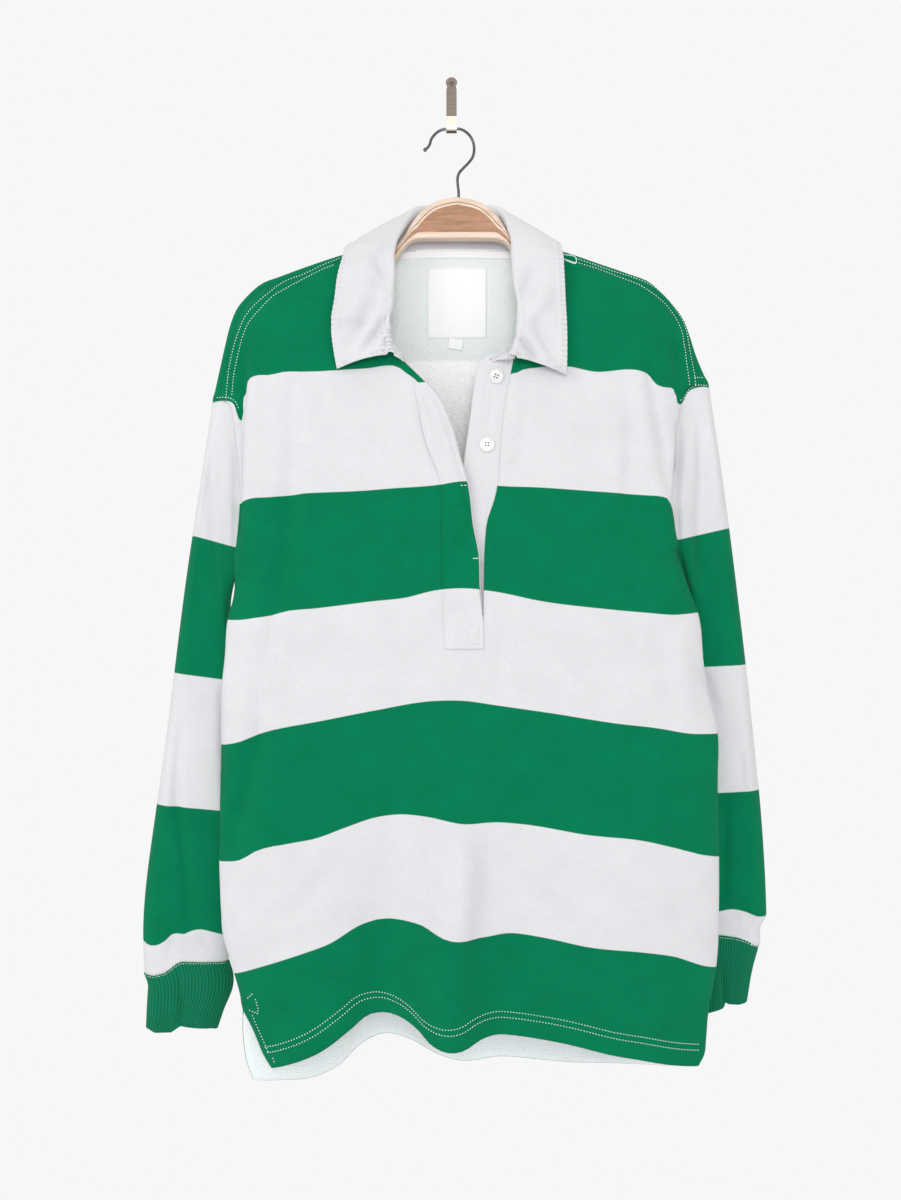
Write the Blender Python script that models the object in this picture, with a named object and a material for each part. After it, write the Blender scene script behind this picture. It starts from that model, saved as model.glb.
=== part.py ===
"""A striped rugby shirt on a plain wooden hanger, hung from a small wall hook.

Frame: metres, +Z up.  The wall is the plane y = 0 and the shirt hangs in front of it, on the
-Y side, facing -Y.  The origin is the middle of the wall hook's flat back.  Left and right in
names are the wearer's, so the shirt's left is at +X.
"""
import bpy
import bmesh
import numpy as np
from math import cos, pi, radians, sin
from mathutils import Vector

MM = 0.001

# Cloth
KNIT = 1.6 * MM               # wall of the body and sleeves
TWILL = 1.4 * MM              # wall of the two-ply collar
STRIP = 1.0 * MM              # fly, facing, underlap, tape and labels
SEAM = 0.3 * MM               # space between two sewn pieces
SHOULDER_ROUND = 10 * MM      # radius of the cloth over the hanger's arms
FRONT_ROUND = 60 * MM         # width over which the front rounds back to the side seam
BACK_TAPER = 110 * MM         # width over which the back comes forward to the side seam
BACK_SIDE_SHARE = 0.4         # share of the back's width that each shoulder's columns take
TURN_SHARE = 0.27             # share of a half's columns that round into the side seam
TURN_COLUMNS = 3
CROWDING = 1.25               # how much closer the rows get towards an underarm
SEAM_CROWDING = 1.5
TOP_ROUND = 55 * MM           # height over which the panels round over from the shoulder
END_CLOSE = (1.8, 0.3)        # a section closes over 1.8 of its end's roundness, or 0.3 of its run
RIDGE_Y = -31 * MM            # depth of the shoulder ridge, over the middle of the hanger

# Rib cuffs
RIBS = 58
RIB_RISE = 0.55 * MM

# Mesh counts
SHOULDER_COLUMNS = 10         # columns from a sleeve head to the neck
NECK_COLUMNS = 8
ARM_ROWS = 12                 # rows of the front down an armhole
BACK_ARM_ROWS = 9
NECKLINE_ROWS = 5             # of the front's armhole rows, those beside the neckline
SEAM_ROWS = 10                # rows from the underarm to the vent
VENT_ROWS = 3
SLEEVE_RINGS = 16
WRAP_ANGLES = (75, 38, 0, -38, -75)   # degrees over the shoulder, front to back

# Hanger and hooks
WIRE_RADIUS = 1.4 * MM
WIRE_SIDES = 8
WIRE_TIP = [(-26, -55.6), (-23.2, -53.4), (-20.6, -49.7)]      # x, z in mm
WIRE_STEM = [(8.5, -80), (6.5, -88), (6.5, -97), (6.5, -105.7)]
WIRE_BALL = (1.2, 2.0, 1.7)   # radii of the ball on the wire's tip, in mm
WOOD_THICK = 12 * MM
WOOD_ROUND = 4.0 * MM
# Upper half of the wood's section: share of its half thickness, share of the rounding
WOOD_SECTION = [(0.2, 0.0), (0.74, 0.45), (1.0, 1.0)]
HANGER_X = 5.5 * MM           # the hanger hangs a little to one side of the hook
LOOP_RADIUS = 21.6 * MM       # middle of the wire where it loops over the wall hook
LOOP_X = 1 * MM
LOOP_Z = -55.5 * MM
HOOK_Y = -20 * MM             # middle of the wall hook's trough
HOOK_HALF = 5.2 * MM          # half the width of the wall hook's strip
HOOK_THICK = 1.5 * MM
HOOK_TURN = 4.8 * MM          # outer radius of the trough
HOOK_TURN_ANGLES = (-75, -105, -135, -160, -180)
HOOK_LIP = 13.5 * MM          # height of the lip above the trough
HOOK_BEND = [(-1, -22), (-5, -28), (-11, -33)]   # y, z in mm between the plate and the trough
# Half width of the wall hook's upright plate, from its foot to its lobed top: z, half width, mm
HOOK_LOBE = [(-16, 5.2), (13, 5.2), (15, 4.4), (17, 4.6), (19, 5.8), (22, 5.4), (24, 3.4), (25, 1.2)]
BUTTON_RADIUS = 7.1 * MM
BUTTON_THICK = 2.6 * MM
BUTTON_STAND = 0.48 * MM      # how far a button's back stands off the cloth
BUTTON_SIDES = 24
BUTTON_HOLE = 0.95 * MM
HOLE_RADIUS = 1.9 * MM        # how far each hole lies from the button's middle
# Turned profile of a button: share of its radius, share of its thickness
BUTTON_PROFILE = [(1.0, 0.0), (1.0, 0.7), (0.93, 1.0), (0.82, 1.0), (0.74, 0.72)]

# Shoulder ridge, from the neck out to the sleeve head: x, z in mm
RIDGE = {
    -1: [(-74, -154), (-104, -161), (-138, -172), (-168, -183), (-186, -190), (-200, -202),
         (-210, -214), (-217, -231), (-222, -251), (-228, -278), (-234, -305)],
    1: [(78, -151), (107, -158), (149, -172), (175, -181), (193, -188), (206, -199),
        (217, -211), (226, -223), (233, -240), (239, -259), (245, -274), (252, -289)],
}

# Front neckline from the shoulder seam down to the placket, then the slit's edge: x, z in mm
NECKLINE = {
    -1: [(-73, -172), (-70, -201), (-65, -228), (-57, -254), (-45, -272)],
    1: [(77, -174), (73, -205), (69, -228), (64, -250), (60, -269)],
}
SLIT = {
    -1: [(-45, -272), (-30, -287), (-14, -304), (-1, -333), (8, -367), (14, -386), (20, -431),
         (25, -457), (26, -488), (30, -523)],
    1: [(60, -269), (51, -315), (48, -344), (42, -402), (34, -427), (32, -449), (31, -490),
        (30, -523)],
}
UNDERLAP_EDGE = [(35, -270), (26, -274), (22, -289), (18, -312), (15, -332), (11, -368),
                 (6, -420), (2, -470), (0, -532)]
FLY_SEAM = [(-38, -281), (-32, -313), (-25, -347), (-11, -386), (-9, -440), (-8, -500),
            (-7, -546)]

# Side seam from the underarm to the vent: x, y, z in mm
SIDE_SEAM = {
    -1: [(-209, -49, -479), (-210, -54, -497), (-215, -58, -519), (-217, -61, -553),
         (-220, -63, -586), (-220, -64, -648), (-221, -65, -696), (-221, -66, -767),
         (-217, -67, -814), (-205, -68, -848), (-201, -68, -890)],
    1: [(218, -49, -453), (222, -54, -469), (229, -58, -492), (236, -60, -512),
        (242, -62, -566), (247, -63, -592), (254, -64, -625), (254, -65, -674),
        (255, -66, -748), (255, -66, -786), (252, -68, -848), (243, -70, -895)],
}
# Edges of the vents below the side seams: x, y, z in mm
FRONT_VENT = {-1: [(-201, -68, -890), (-195, -71, -902), (-181, -75, -932), (-173, -78, -941)],
              1: [(243, -70, -895), (241, -72, -916), (239, -74, -930), (233, -78, -939)]}
BACK_VENT = {-1: [(-201, -68, -890), (-200, -66, -906), (-196, -63, -938), (-190, -58, -960)],
             1: [(243, -70, -895), (240, -62, -915), (237, -54, -934), (234, -46, -950)]}
# Hems: x, z in mm
FRONT_HEM = [(-173, -941), (-154, -936), (-123, -923), (-94, -903), (-79, -892), (-64, -890),
             (-49, -893), (-33, -901), (-18, -914), (-3, -919), (12, -918), (27, -911),
             (42, -908), (57, -909), (87, -912), (116, -917), (145, -923), (175, -928),
             (206, -935), (233, -939)]
BACK_HEM = [(-190, -960), (-166, -962), (-132, -965), (-112, -959), (-90, -940), (-67, -930),
            (-40, -936), (-15, -950), (8, -957), (50, -953), (87, -956), (124, -959),
            (187, -954), (234, -950)]

# How far the two panels hang from the wall: z, front y, back y in mm
DEPTH = [(-150, -42, -13), (-200, -50, -13), (-250, -56, -13), (-300, -61, -13),
         (-370, -66, -13), (-450, -72, -13), (-520, -77, -13), (-650, -82, -13),
         (-800, -85, -13), (-970, -86, -14)]

# Folds of the front: x and z where it starts, x and z where it is deepest, half width and how
# far it stands forward, in mm.  A "hem" fold stays open to the hem, a "soft" one dies out.
FOLD_COLUMNS = ("name", "kind", "x_top", "z_top", "x_low", "z_low", "half_width", "forward")
FOLDS = [
    ("middle ridge", "hem", 4, -560, -2, -930, 30, 16),
    ("left of middle", "hem", -52, -560, -66, -930, 30, -13),
    ("right of middle", "hem", 40, -600, 50, -930, 26, -5),
    ("right ridge", "hem", 150, -520, 165, -940, 48, 9),
    ("left ridge", "hem", -138, -560, -130, -940, 32, 3),
    ("left chest", "soft", -152, -310, -154, -560, 15, -4),
    ("right chest", "soft", 176, -300, 196, -520, 16, -4),
    ("left waist", "soft", -170, -600, -160, -880, 20, 3),
]

# Sleeve sections, from the armhole to the cuff seam, in mm: outer end x, z; inner end x, y, z;
# depth of the middle; half depth
SLEEVE_COLUMNS = ("out_x", "out_z", "in_x", "in_y", "in_z", "out_y", "half")
ARMHOLE_CORNER = 6.0          # how square the armhole's upper inner corner is (1 = straight)
SLEEVE_CORNER = 0.2           # how much squarer than straight the section below it is
SLEEVE = {
    -1: [(-234, -305, -209, -49, -479, -31, 10.0),
         (-241, -353, -216, -42, -499, -31, 13.0),
         (-248, -402, -219, -36, -526, -31, 16.0),
         (-257, -456, -213, -32, -563, -31, 18.0),
         (-265, -515, -197, -30, -603, -31, 18.0),
         (-272, -574, -192, -30, -652, -30, 17.5),
         (-281, -647, -196, -30, -706, -30, 17.0),
         (-291, -716, -204, -30, -755, -30, 16.5),
         (-300, -775, -210, -30, -799, -30, 16.0),
         (-305, -824, -215, -30, -834, -30, 15.0),
         (-301, -864, -219, -30, -857, -30, 13.0)],
    1: [(252, -289, 218, -49, -453, -31, 10.0),
        (260, -343, 225, -42, -476, -31, 13.0),
        (268, -397, 229, -36, -503, -31, 16.0),
        (274, -446, 226, -32, -533, -31, 18.0),
        (281, -500, 219, -30, -570, -31, 18.0),
        (289, -569, 220, -30, -623, -30, 17.5),
        (298, -642, 226, -30, -686, -30, 17.0),
        (305, -726, 229, -30, -755, -30, 16.5),
        (308, -775, 229, -30, -794, -30, 16.0),
        (309, -809, 229, -30, -819, -30, 15.0),
        (301, -840, 234, -30, -834, -30, 13.0)],
}
# Cuff sections: outer end x, z; inner end x, z; half depth, in mm
CUFF = {
    -1: [(-301, -864, -219, -857, 13.0), (-297, -882, -215, -870, 13.5),
         (-299, -922, -230, -921, 12.0)],
    1: [(301, -840, 234, -834, 13.0), (296, -858, 236, -853, 13.5),
        (289, -896, 240, -900, 12.0)],
}

# Back neckline between the shoulder wraps: x, y, z in mm
BACK_NECK = [(-64, -16, -156.5), (-45, -13.5, -154.5), (2, -13, -153), (49, -13.5, -154),
             (68, -16, -155)]

# Placket strips: z of the top and of the foot in mm, rows of points, columns of points
STRIPS = {
    "placket_fly": (-282, -546, 20, 4),
    "placket_facing": (-292, -512, 16, 4),
    "placket_underlap": (-270, -530, 18, 8),
}
FACING_LIP = 1.6              # how far the facing shows past the slit's edge, in mm
UNDERLAP_TUCK = 5             # how far the underlap reaches behind the left front, in mm
UNDERLAP_STEP = 2.0           # how far it lies back beside the slit, in mm
UNDERLAP_LEAN = 0.06          # and how fast it leans back towards its free edge
UNDERLAP_FOOT = (-440, 40, 1.5)   # z where its foot sets back, over what height and by how much

# Collar sections from the right front end, round the back, to the left front end: place along
# the neck seam (0 to 1), roll line x, y, z and outer edge x, y, z in mm
COLLAR_COLUMNS = ("seam", "roll_x", "roll_y", "roll_z", "edge_x", "edge_y", "edge_z")
COLLAR = [
    (0.000, -58, -69, -264, -109, -64, -279),
    (0.045, -61, -67, -246, -112, -63, -263),
    (0.110, -58, -64, -218, -115, -61, -236),
    (0.180, -55, -58, -188, -112, -57, -211),
    (0.245, -56, -50, -164, -109, -54, -186),
    (0.295, -52, -44, -147, -105, -49, -169),
    (0.330, -45, -30, -130, -103, -36, -156),
    (0.380, -34, -16, -112, -97, -19, -153),
    (0.430, -18, -11, -108, -60, -7, -150),
    (0.490, 2, -10, -107, 2, -4, -149),
    (0.550, 24, -11, -108, 64, -7, -150),
    (0.600, 46, -16, -112, 99, -19, -152),
    (0.650, 54, -30, -130, 106, -36, -153),
    (0.685, 58, -44, -147, 107, -49, -166),
    (0.740, 59, -50, -167, 108, -54, -183),
    (0.810, 61, -59, -198, 109, -57, -211),
    (0.870, 65, -65, -227, 110, -61, -239),
    (0.935, 62, -68, -252, 110, -64, -268),
    (1.000, 58, -70, -267, 109, -67, -285),
]
COLLAR_TAIL = [(48, -269.0), (37, -268.8)]   # the neck seam's run over the underlap: x, z in mm
ROLL_HALF_WIDTH = 2.7 * MM    # half the width of the turn at the collar's roll line
COLLAR_STATIONS = 30
LEAF_CROWN = 2.5 * MM         # how far the collar's leaf stands out between roll and edge
TURN_ANGLES = (-90, -45, 0, 45, 90)
LEAF_ROWS = (0.33, 0.67, 1.0)

# Hanger, outwards from its middle: the hump (out, top z, foot z), then the arms under the shoulder
# ridge (out, room under the cloth, height) and the rounding of the tip (out, inset), in mm
HANGER_HUMP = [(0, -106, -147), (12, -108, -147), (24, -112, -147), (33, -118.5, -147),
               (41, -127, -148), (46, -135, -150), (51, -143.5, -155), (58, -152, -164),
               (66, -159.5, -175)]
HANGER_ARM = [(82, 6.5, 20), (104, 6.0, 22), (130, 3.6, 22), (160, 1.4, 19), (170, 0.6, 17)]
HANGER_END = [(4, 1.2), (6.5, 3.4)]
HANGER_SLOPE = 0.45           # how far the arms fall for each step outwards at the tip

BUTTONS = {"button_top": (43, -285), "button_low": (34, -351)}   # x, z in mm
LABEL = (-24, 35, -170, -240)     # left, right, top, foot in mm
SIZE_TAG = (-3, 11, -240.6, -251)
TAPE = (-50, 53, 1.0, 7.0)        # left, right, top and foot below the neckline, in mm
TAPE_STAND = 0.7 * MM             # how far the tape's back stands off the knit


# ---------------------------------------------------------------- curves and surfaces

def mm(points):
    return np.asarray(points, float) * MM


def curve(points, fractions):
    """Points at the given fractions of the length of a smooth curve through the points."""
    points = np.asarray(points, float)
    knots = np.concatenate(([0.0], np.cumsum(np.linalg.norm(np.diff(points, axis=0), axis=1))))
    slopes = np.gradient(points, knots, axis=0)
    steps = np.linspace(0.0, knots[-1], 24 * len(points))
    span = np.clip(np.searchsorted(knots, steps, side="right") - 1, 0, len(points) - 2)
    width = (knots[span + 1] - knots[span])[:, None]
    t = (steps[:, None] - knots[span][:, None]) / width
    fine = ((2 * t**3 - 3 * t**2 + 1) * points[span] + (t**3 - 2 * t**2 + t) * width * slopes[span]
            + (3 * t**2 - 2 * t**3) * points[span + 1] + (t**3 - t**2) * width * slopes[span + 1])
    return along(fine, fractions)


def along(line, fractions):
    """Points at the given fractions of a polyline's length."""
    lengths = np.concatenate(([0.0], np.cumsum(np.linalg.norm(np.diff(line, axis=0), axis=1))))
    places = np.asarray(fractions) * lengths[-1]
    return np.stack([np.interp(places, lengths, line[:, k]) for k in range(line.shape[1])], axis=1)


def lookup(pairs, value):
    """A smooth function through (place, value) pairs, read at a place."""
    fine = curve(sorted(pairs), np.linspace(0, 1, 200))
    return np.interp(value, fine[:, 0], fine[:, 1])


def smooth(t):
    t = np.clip(t, 0, 1)
    return t * t * (3 - 2 * t)


def rounded(t):
    """Rises from 0 to 1 like a quarter circle."""
    return np.sqrt(1 - (1 - np.clip(t, 0, 1)) ** 2)


def fold_forward(x, z):
    """How far the folds of the front stand forward at x, z."""
    total = np.zeros(np.broadcast(x, z).shape)
    for row in FOLDS:
        fold = dict(zip(FOLD_COLUMNS, row))
        run = (fold["z_top"] * MM - z) / ((fold["z_top"] - fold["z_low"]) * MM)
        middle = (fold["x_top"] + (fold["x_low"] - fold["x_top"]) * np.clip(run, 0, 1.2)) * MM
        strength = smooth(run)
        if fold["kind"] == "soft":
            strength = np.sin(pi * np.clip(run, 0, 1)) ** 2
        across = np.exp(-((x - middle) / (fold["half_width"] * MM)) ** 2)
        total = total + strength * across * fold["forward"] * MM
    return total


def front_y(x, z):
    """Depth of the front away from its edges."""
    return lookup([(row[0] * MM, row[1] * MM) for row in DEPTH], z) - fold_forward(x, z)


def back_y(z):
    return lookup([(row[0] * MM, row[2] * MM) for row in DEPTH], z)


def side_fractions(count):
    """Column places from a side seam (0) to the middle (1), closer where the front rounds."""
    angles = np.radians(90) * np.arange(TURN_COLUMNS) / TURN_COLUMNS
    near = TURN_SHARE * (1 - np.cos(angles))
    return np.concatenate((near, np.linspace(TURN_SHARE, 1.0, count - TURN_COLUMNS + 1)))


def towards_end(count):
    """Row places from 0 to 1, closer together near the end."""
    return 1 - (1 - np.linspace(0, 1, count + 1)) ** CROWDING


def coons(top, foot, left, right, u, v):
    """A grid of points spanned between four edges, u across and v down."""
    u = u[None, :, None]
    v = v[:, None, None]
    sides = (1 - u) * left[:, None] + u * right[:, None]
    ends = (1 - v) * top[None] + v * foot[None]
    corners = ((1 - u) * (1 - v) * top[0] + u * (1 - v) * top[-1]
               + (1 - u) * v * foot[0] + u * v * foot[-1])
    return sides + ends - corners


def fractions_of(line):
    lengths = np.concatenate(([0.0], np.cumsum(np.linalg.norm(np.diff(line, axis=0), axis=1))))
    return lengths / lengths[-1]


# ---------------------------------------------------------------- shoulder and sleeves

def shoulder(side, fractions, angle):
    """The cloth over the shoulder, from the neck (0) to the sleeve head (1), at one angle."""
    flat = mm(RIDGE[side])
    ridge = curve(flat, fractions)
    ahead = curve(flat, np.clip(np.asarray(fractions) + 0.01, 0, 1))
    behind = curve(flat, np.clip(np.asarray(fractions) - 0.01, 0, 1))
    run = ahead - behind
    run /= np.linalg.norm(run, axis=1)[:, None]
    inward = np.stack((-side * -run[:, 1], -side * run[:, 0]), axis=1)
    drop = SHOULDER_ROUND * (1 - cos(radians(angle)))
    place = ridge + inward * drop
    depth = np.full(len(ridge), RIDGE_Y - SHOULDER_ROUND * sin(radians(angle)))
    return np.stack((place[:, 0], depth, place[:, 1]), axis=1)


def section_edges(row, wrap):
    """The front and back halves of a flat oval section, each from its outer to its inner end."""
    turn = np.radians(np.linspace(0, 90, 120))
    power = 2.0 / row["corner"]
    across = np.sin(turn) ** power
    down = 1 - np.cos(turn) ** power
    start = np.array((row["out_x"], row["out_z"])) * MM
    end = np.array((row["in_x"], row["in_z"])) * MM
    path = np.stack((start[0] + (end[0] - start[0]) * across,
                     start[1] + (end[1] - start[1]) * down), axis=1)
    path = along(path, (1 - np.cos(np.linspace(0, pi, 240))) / 2)
    run = np.concatenate(([0.0], np.cumsum(np.linalg.norm(np.diff(path, axis=0), axis=1))))
    thin = max(END_CLOSE[0] * wrap, END_CLOSE[1] * run[-1])
    ends = rounded(run / wrap) * rounded((run[-1] - run) / thin)
    middle = (row["out_y"] + (row["in_y"] - row["out_y"]) * run / run[-1]) * MM
    halves = []
    for sign in (-1, 1):
        halves.append(np.stack((path[:, 0], middle + sign * row["half"] * MM * ends, path[:, 1]),
                               axis=1))
    return halves


def section_at(side, place):
    """The sleeve's section values at a place from the armhole (0) to the cuff seam (1)."""
    table = SLEEVE[side]
    knots = np.linspace(0, 1, len(table))
    row = {name: float(lookup(list(zip(knots, column)), place))
           for name, column in zip(SLEEVE_COLUMNS, zip(*table))}
    row["corner"] = ARMHOLE_CORNER if place == 0 else 1 + SLEEVE_CORNER * (1 - place)
    return row


def sleeve_ring(side, place):
    """One ring of a sleeve: down the front to the inner end, then up the back and round."""
    row = section_at(side, place)
    wrap = max(SHOULDER_ROUND, row["half"] * MM)
    front, back = section_edges(row, wrap)
    run = np.concatenate(([0.0], np.cumsum(np.linalg.norm(
        np.diff(front[:, [0, 2]], axis=0), axis=1))))
    first = wrap * (1 - cos(radians(WRAP_ANGLES[0])))
    keep = run > first
    start_front = np.array([np.interp(first, run, front[:, k]) for k in range(3)])
    start_back = np.array([np.interp(first, run, back[:, k]) for k in range(3)])
    down = along(np.vstack((start_front, front[keep])), towards_end(ARM_ROWS))
    up = along(np.vstack((start_back, back[keep])), towards_end(BACK_ARM_ROWS))
    over = []
    for angle in WRAP_ANGLES[1:-1]:
        half = front if angle >= 0 else back
        drop = wrap * (1 - cos(radians(angle)))
        over.append([np.interp(drop, run, half[:, k]) for k in range(3)])
    return down, np.array(over), up


# ---------------------------------------------------------------- the body's panels

def front_surface(side_line, top_line, grid):
    """Puts a grid of the front at its depth: y from the folds, rounded to its edges."""
    x, z = grid[..., 0], grid[..., 2]
    from_side = np.abs(x - side_line[:, None, 0])
    from_top = np.linalg.norm(grid[..., [0, 2]] - top_line[None][..., [0, 2]], axis=2)
    share = (side_line[:, None, 1] * from_top + top_line[None, :, 1] * from_side)
    edge = share / np.maximum(from_top + from_side, 1e-9)
    blend = rounded(from_side / FRONT_ROUND) * rounded(from_top / TOP_ROUND)
    out = grid.copy()
    out[..., 1] = edge + (front_y(x, z) - edge) * blend
    out[0] = top_line
    out[:, 0] = side_line
    return out


def front_top(side):
    """The half of the front above the slit's foot: shoulder, armhole, neckline and slit."""
    u = side_fractions(SHOULDER_COLUMNS)
    armhole = sleeve_ring(side, 0)[0]
    top = shoulder(side, 1 - u, WRAP_ANGLES[0])
    top[0] = armhole[0]
    neck = curve(np.vstack((top[-1][[0, 2]], mm(NECKLINE[side]))), np.linspace(0, 1, NECKLINE_ROWS + 1))
    slit = curve(mm(SLIT[side]), np.linspace(0, 1, ARM_ROWS - NECKLINE_ROWS + 1))
    inner = np.vstack((neck, slit[1:]))
    inner = np.stack((inner[:, 0], np.zeros(len(inner)), inner[:, 1]), axis=1)
    foot = armhole[-1] + (inner[-1] - armhole[-1]) * u[:, None]
    v = fractions_of(armhole)
    grid = coons(top, foot, armhole, inner, u, v)
    return front_surface(armhole, top, grid)


def seam_rows(side, vent):
    seam = curve(mm(SIDE_SEAM[side]), np.linspace(0, 1, SEAM_ROWS + 1) ** SEAM_CROWDING)
    return np.vstack((seam, curve(mm(vent[side]), np.linspace(0, 1, VENT_ROWS + 1))[1:]))


def hem_line(points, u):
    line = curve(mm(points), u)
    return np.stack((line[:, 0], np.zeros(len(line)), line[:, 1]), axis=1)


def front_low(right_half, left_half):
    """The front from the slit's foot to the hem."""
    top = np.vstack((right_half[-1], left_half[-1][::-1][1:]))
    left, right = seam_rows(-1, FRONT_VENT), seam_rows(1, FRONT_VENT)
    u = (top[:, 0] - top[0, 0]) / (top[-1, 0] - top[0, 0])
    foot = hem_line(FRONT_HEM, u)
    foot[0], foot[-1] = left[-1], right[-1]
    v = (fractions_of(left) + fractions_of(right)) / 2
    grid = coons(top, foot, left, right, u, v)
    x, z = grid[..., 0], grid[..., 2]
    from_left, from_right = x - left[:, None, 0], right[:, None, 0] - x
    edge = np.where(from_left < from_right, left[:, None, 1], right[:, None, 1])
    blend = rounded(from_left / FRONT_ROUND) * rounded(from_right / FRONT_ROUND)
    grid[..., 1] = edge + (front_y(x, z) - edge) * blend
    grid[0], grid[:, 0], grid[:, -1] = top, left, right
    return grid


def back_neck():
    """The back neckline between the shoulder wraps, and its columns' places."""
    start, end = shoulder(-1, [0], WRAP_ANGLES[-1])[0], shoulder(1, [0], WRAP_ANGLES[-1])[0]
    return curve(np.vstack((start, mm(BACK_NECK), end)), np.linspace(0, 1, NECK_COLUMNS + 1))


def back_panels():
    """The shoulder wraps and the back, above and below the underarms."""
    u_side = side_fractions(SHOULDER_COLUMNS)
    wraps, tops = {}, {}
    for side in (-1, 1):
        down, over, up = sleeve_ring(side, 0)
        ends = np.vstack((down[:1], over, up[:1]))
        rows = np.array([shoulder(side, 1 - u_side, angle) for angle in WRAP_ANGLES])
        rows[:, 0] = ends
        wraps[side] = rows
        tops[side] = rows[-1]
    top = np.vstack((tops[-1], back_neck()[1:-1], tops[1][::-1]))
    left, right = sleeve_ring(-1, 0)[2], sleeve_ring(1, 0)[2]
    beside = BACK_SIDE_SHARE * np.arange(SHOULDER_COLUMNS + 1) / SHOULDER_COLUMNS
    middle = np.linspace(BACK_SIDE_SHARE, 1 - BACK_SIDE_SHARE, NECK_COLUMNS + 1)
    u = np.concatenate((beside, middle[1:-1], 1 - beside[::-1]))
    foot = left[-1] + (right[-1] - left[-1]) * u[:, None]
    v = (fractions_of(left) + fractions_of(right)) / 2
    upper = back_surface(coons(top, foot, left, right, u, v), left, right, top)
    low_left, low_right = seam_rows(-1, BACK_VENT), seam_rows(1, BACK_VENT)
    hem = hem_line(BACK_HEM, u)
    hem[0], hem[-1] = low_left[-1], low_right[-1]
    v = (fractions_of(low_left) + fractions_of(low_right)) / 2
    lower = back_surface(coons(upper[-1], hem, low_left, low_right, u, v), low_left, low_right)
    lower[0] = upper[-1]
    return wraps, upper, lower


def back_surface(grid, left, right, top=None):
    x, z = grid[..., 0], grid[..., 2]
    from_left, from_right = x - left[:, None, 0], right[:, None, 0] - x
    edge = np.where(from_left < from_right, left[:, None, 1], right[:, None, 1])
    blend = smooth(np.minimum(from_left, from_right) / BACK_TAPER)
    grid[..., 1] = edge + (back_y(z) - edge) * blend
    if top is not None:
        drop = np.linalg.norm(grid[..., [0, 2]] - top[None][..., [0, 2]], axis=2)
        grid[..., 1] = top[None, :, 1] + (grid[..., 1] - top[None, :, 1]) * smooth(drop / TOP_ROUND)
        grid[0] = top
    grid[:, 0], grid[:, -1] = left, right
    return grid


# ---------------------------------------------------------------- walls of cloth

def grid_faces(rows, columns, flip, closed=False):
    """Corner numbers of a grid's quads; a closed grid joins its last column to its first."""
    faces = []
    for i in range(rows - 1):
        for j in range(columns if closed else columns - 1):
            k = (j + 1) % columns
            quad = (i * columns + j, i * columns + k, (i + 1) * columns + k, (i + 1) * columns + j)
            faces.append(quad[::-1] if flip else quad)
    return faces


def material(name, colour, roughness, metallic=0.0):
    made = bpy.data.materials.get(name) or bpy.data.materials.new(name)
    made.use_nodes = True
    shader = made.node_tree.nodes["Principled BSDF"]
    shader.inputs["Base Color"].default_value = (*colour, 1.0)
    shader.inputs["Roughness"].default_value = roughness
    shader.inputs["Metallic"].default_value = metallic
    return made


def add_object(name, mesh, finish):
    thing = bpy.data.objects.new(name, mesh)
    thing.data.materials.append(finish)
    bpy.context.collection.objects.link(thing)
    return thing


def vertex_normals(points, faces):
    mesh = bpy.data.meshes.new("normals")
    mesh.from_pydata([tuple(p) for p in points], [], faces)
    normals = np.array([v.normal[:] for v in mesh.vertices])
    bpy.data.meshes.remove(mesh)
    return normals


def directed_edges(faces):
    """Every edge of the faces as a pair of corner numbers, in the order the face takes them."""
    return [pair for face in faces for pair in zip(face, face[1:] + face[:1])]


def wall(name, points, faces, thickness, finish, normals=None, raised=None):
    """A closed wall of cloth: the faces, the same faces set in, and rims round every edge.

    A rim's halves meet between the higher corner outside and the lower one inside, so that two
    panels that share a seam split it in the same way.
    """
    points = np.asarray(points, float)
    if normals is None:
        normals = vertex_normals(points, faces)
    outer = points if raised is None else points + normals * np.asarray(raised)[:, None]
    inner = points - normals * thickness
    count = len(points)
    sides = set(directed_edges(faces))
    rims = []
    for a, b in sides:
        if (b, a) not in sides and a < b:
            rims += [(b, a, a + count), (b, a + count, b + count)]
        elif (b, a) not in sides:
            rims += [(b, a, b + count), (a, a + count, b + count)]
    inside = [tuple(k + count for k in face[::-1]) for face in faces]
    mesh = bpy.data.meshes.new(name)
    mesh.from_pydata([tuple(p) for p in np.vstack((outer, inner))], [], list(faces) + inside + rims)
    tidy = bmesh.new()
    tidy.from_mesh(mesh)
    loose = [v for v in tidy.verts if not v.link_faces]
    bmesh.ops.delete(tidy, geom=loose, context="VERTS")
    bmesh.ops.triangulate(tidy, faces=tidy.faces)
    tidy.to_mesh(mesh)
    tidy.free()
    mesh.shade_smooth()
    mesh.set_sharp_from_angle(angle=radians(50))
    return add_object(name, mesh, finish)


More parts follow.
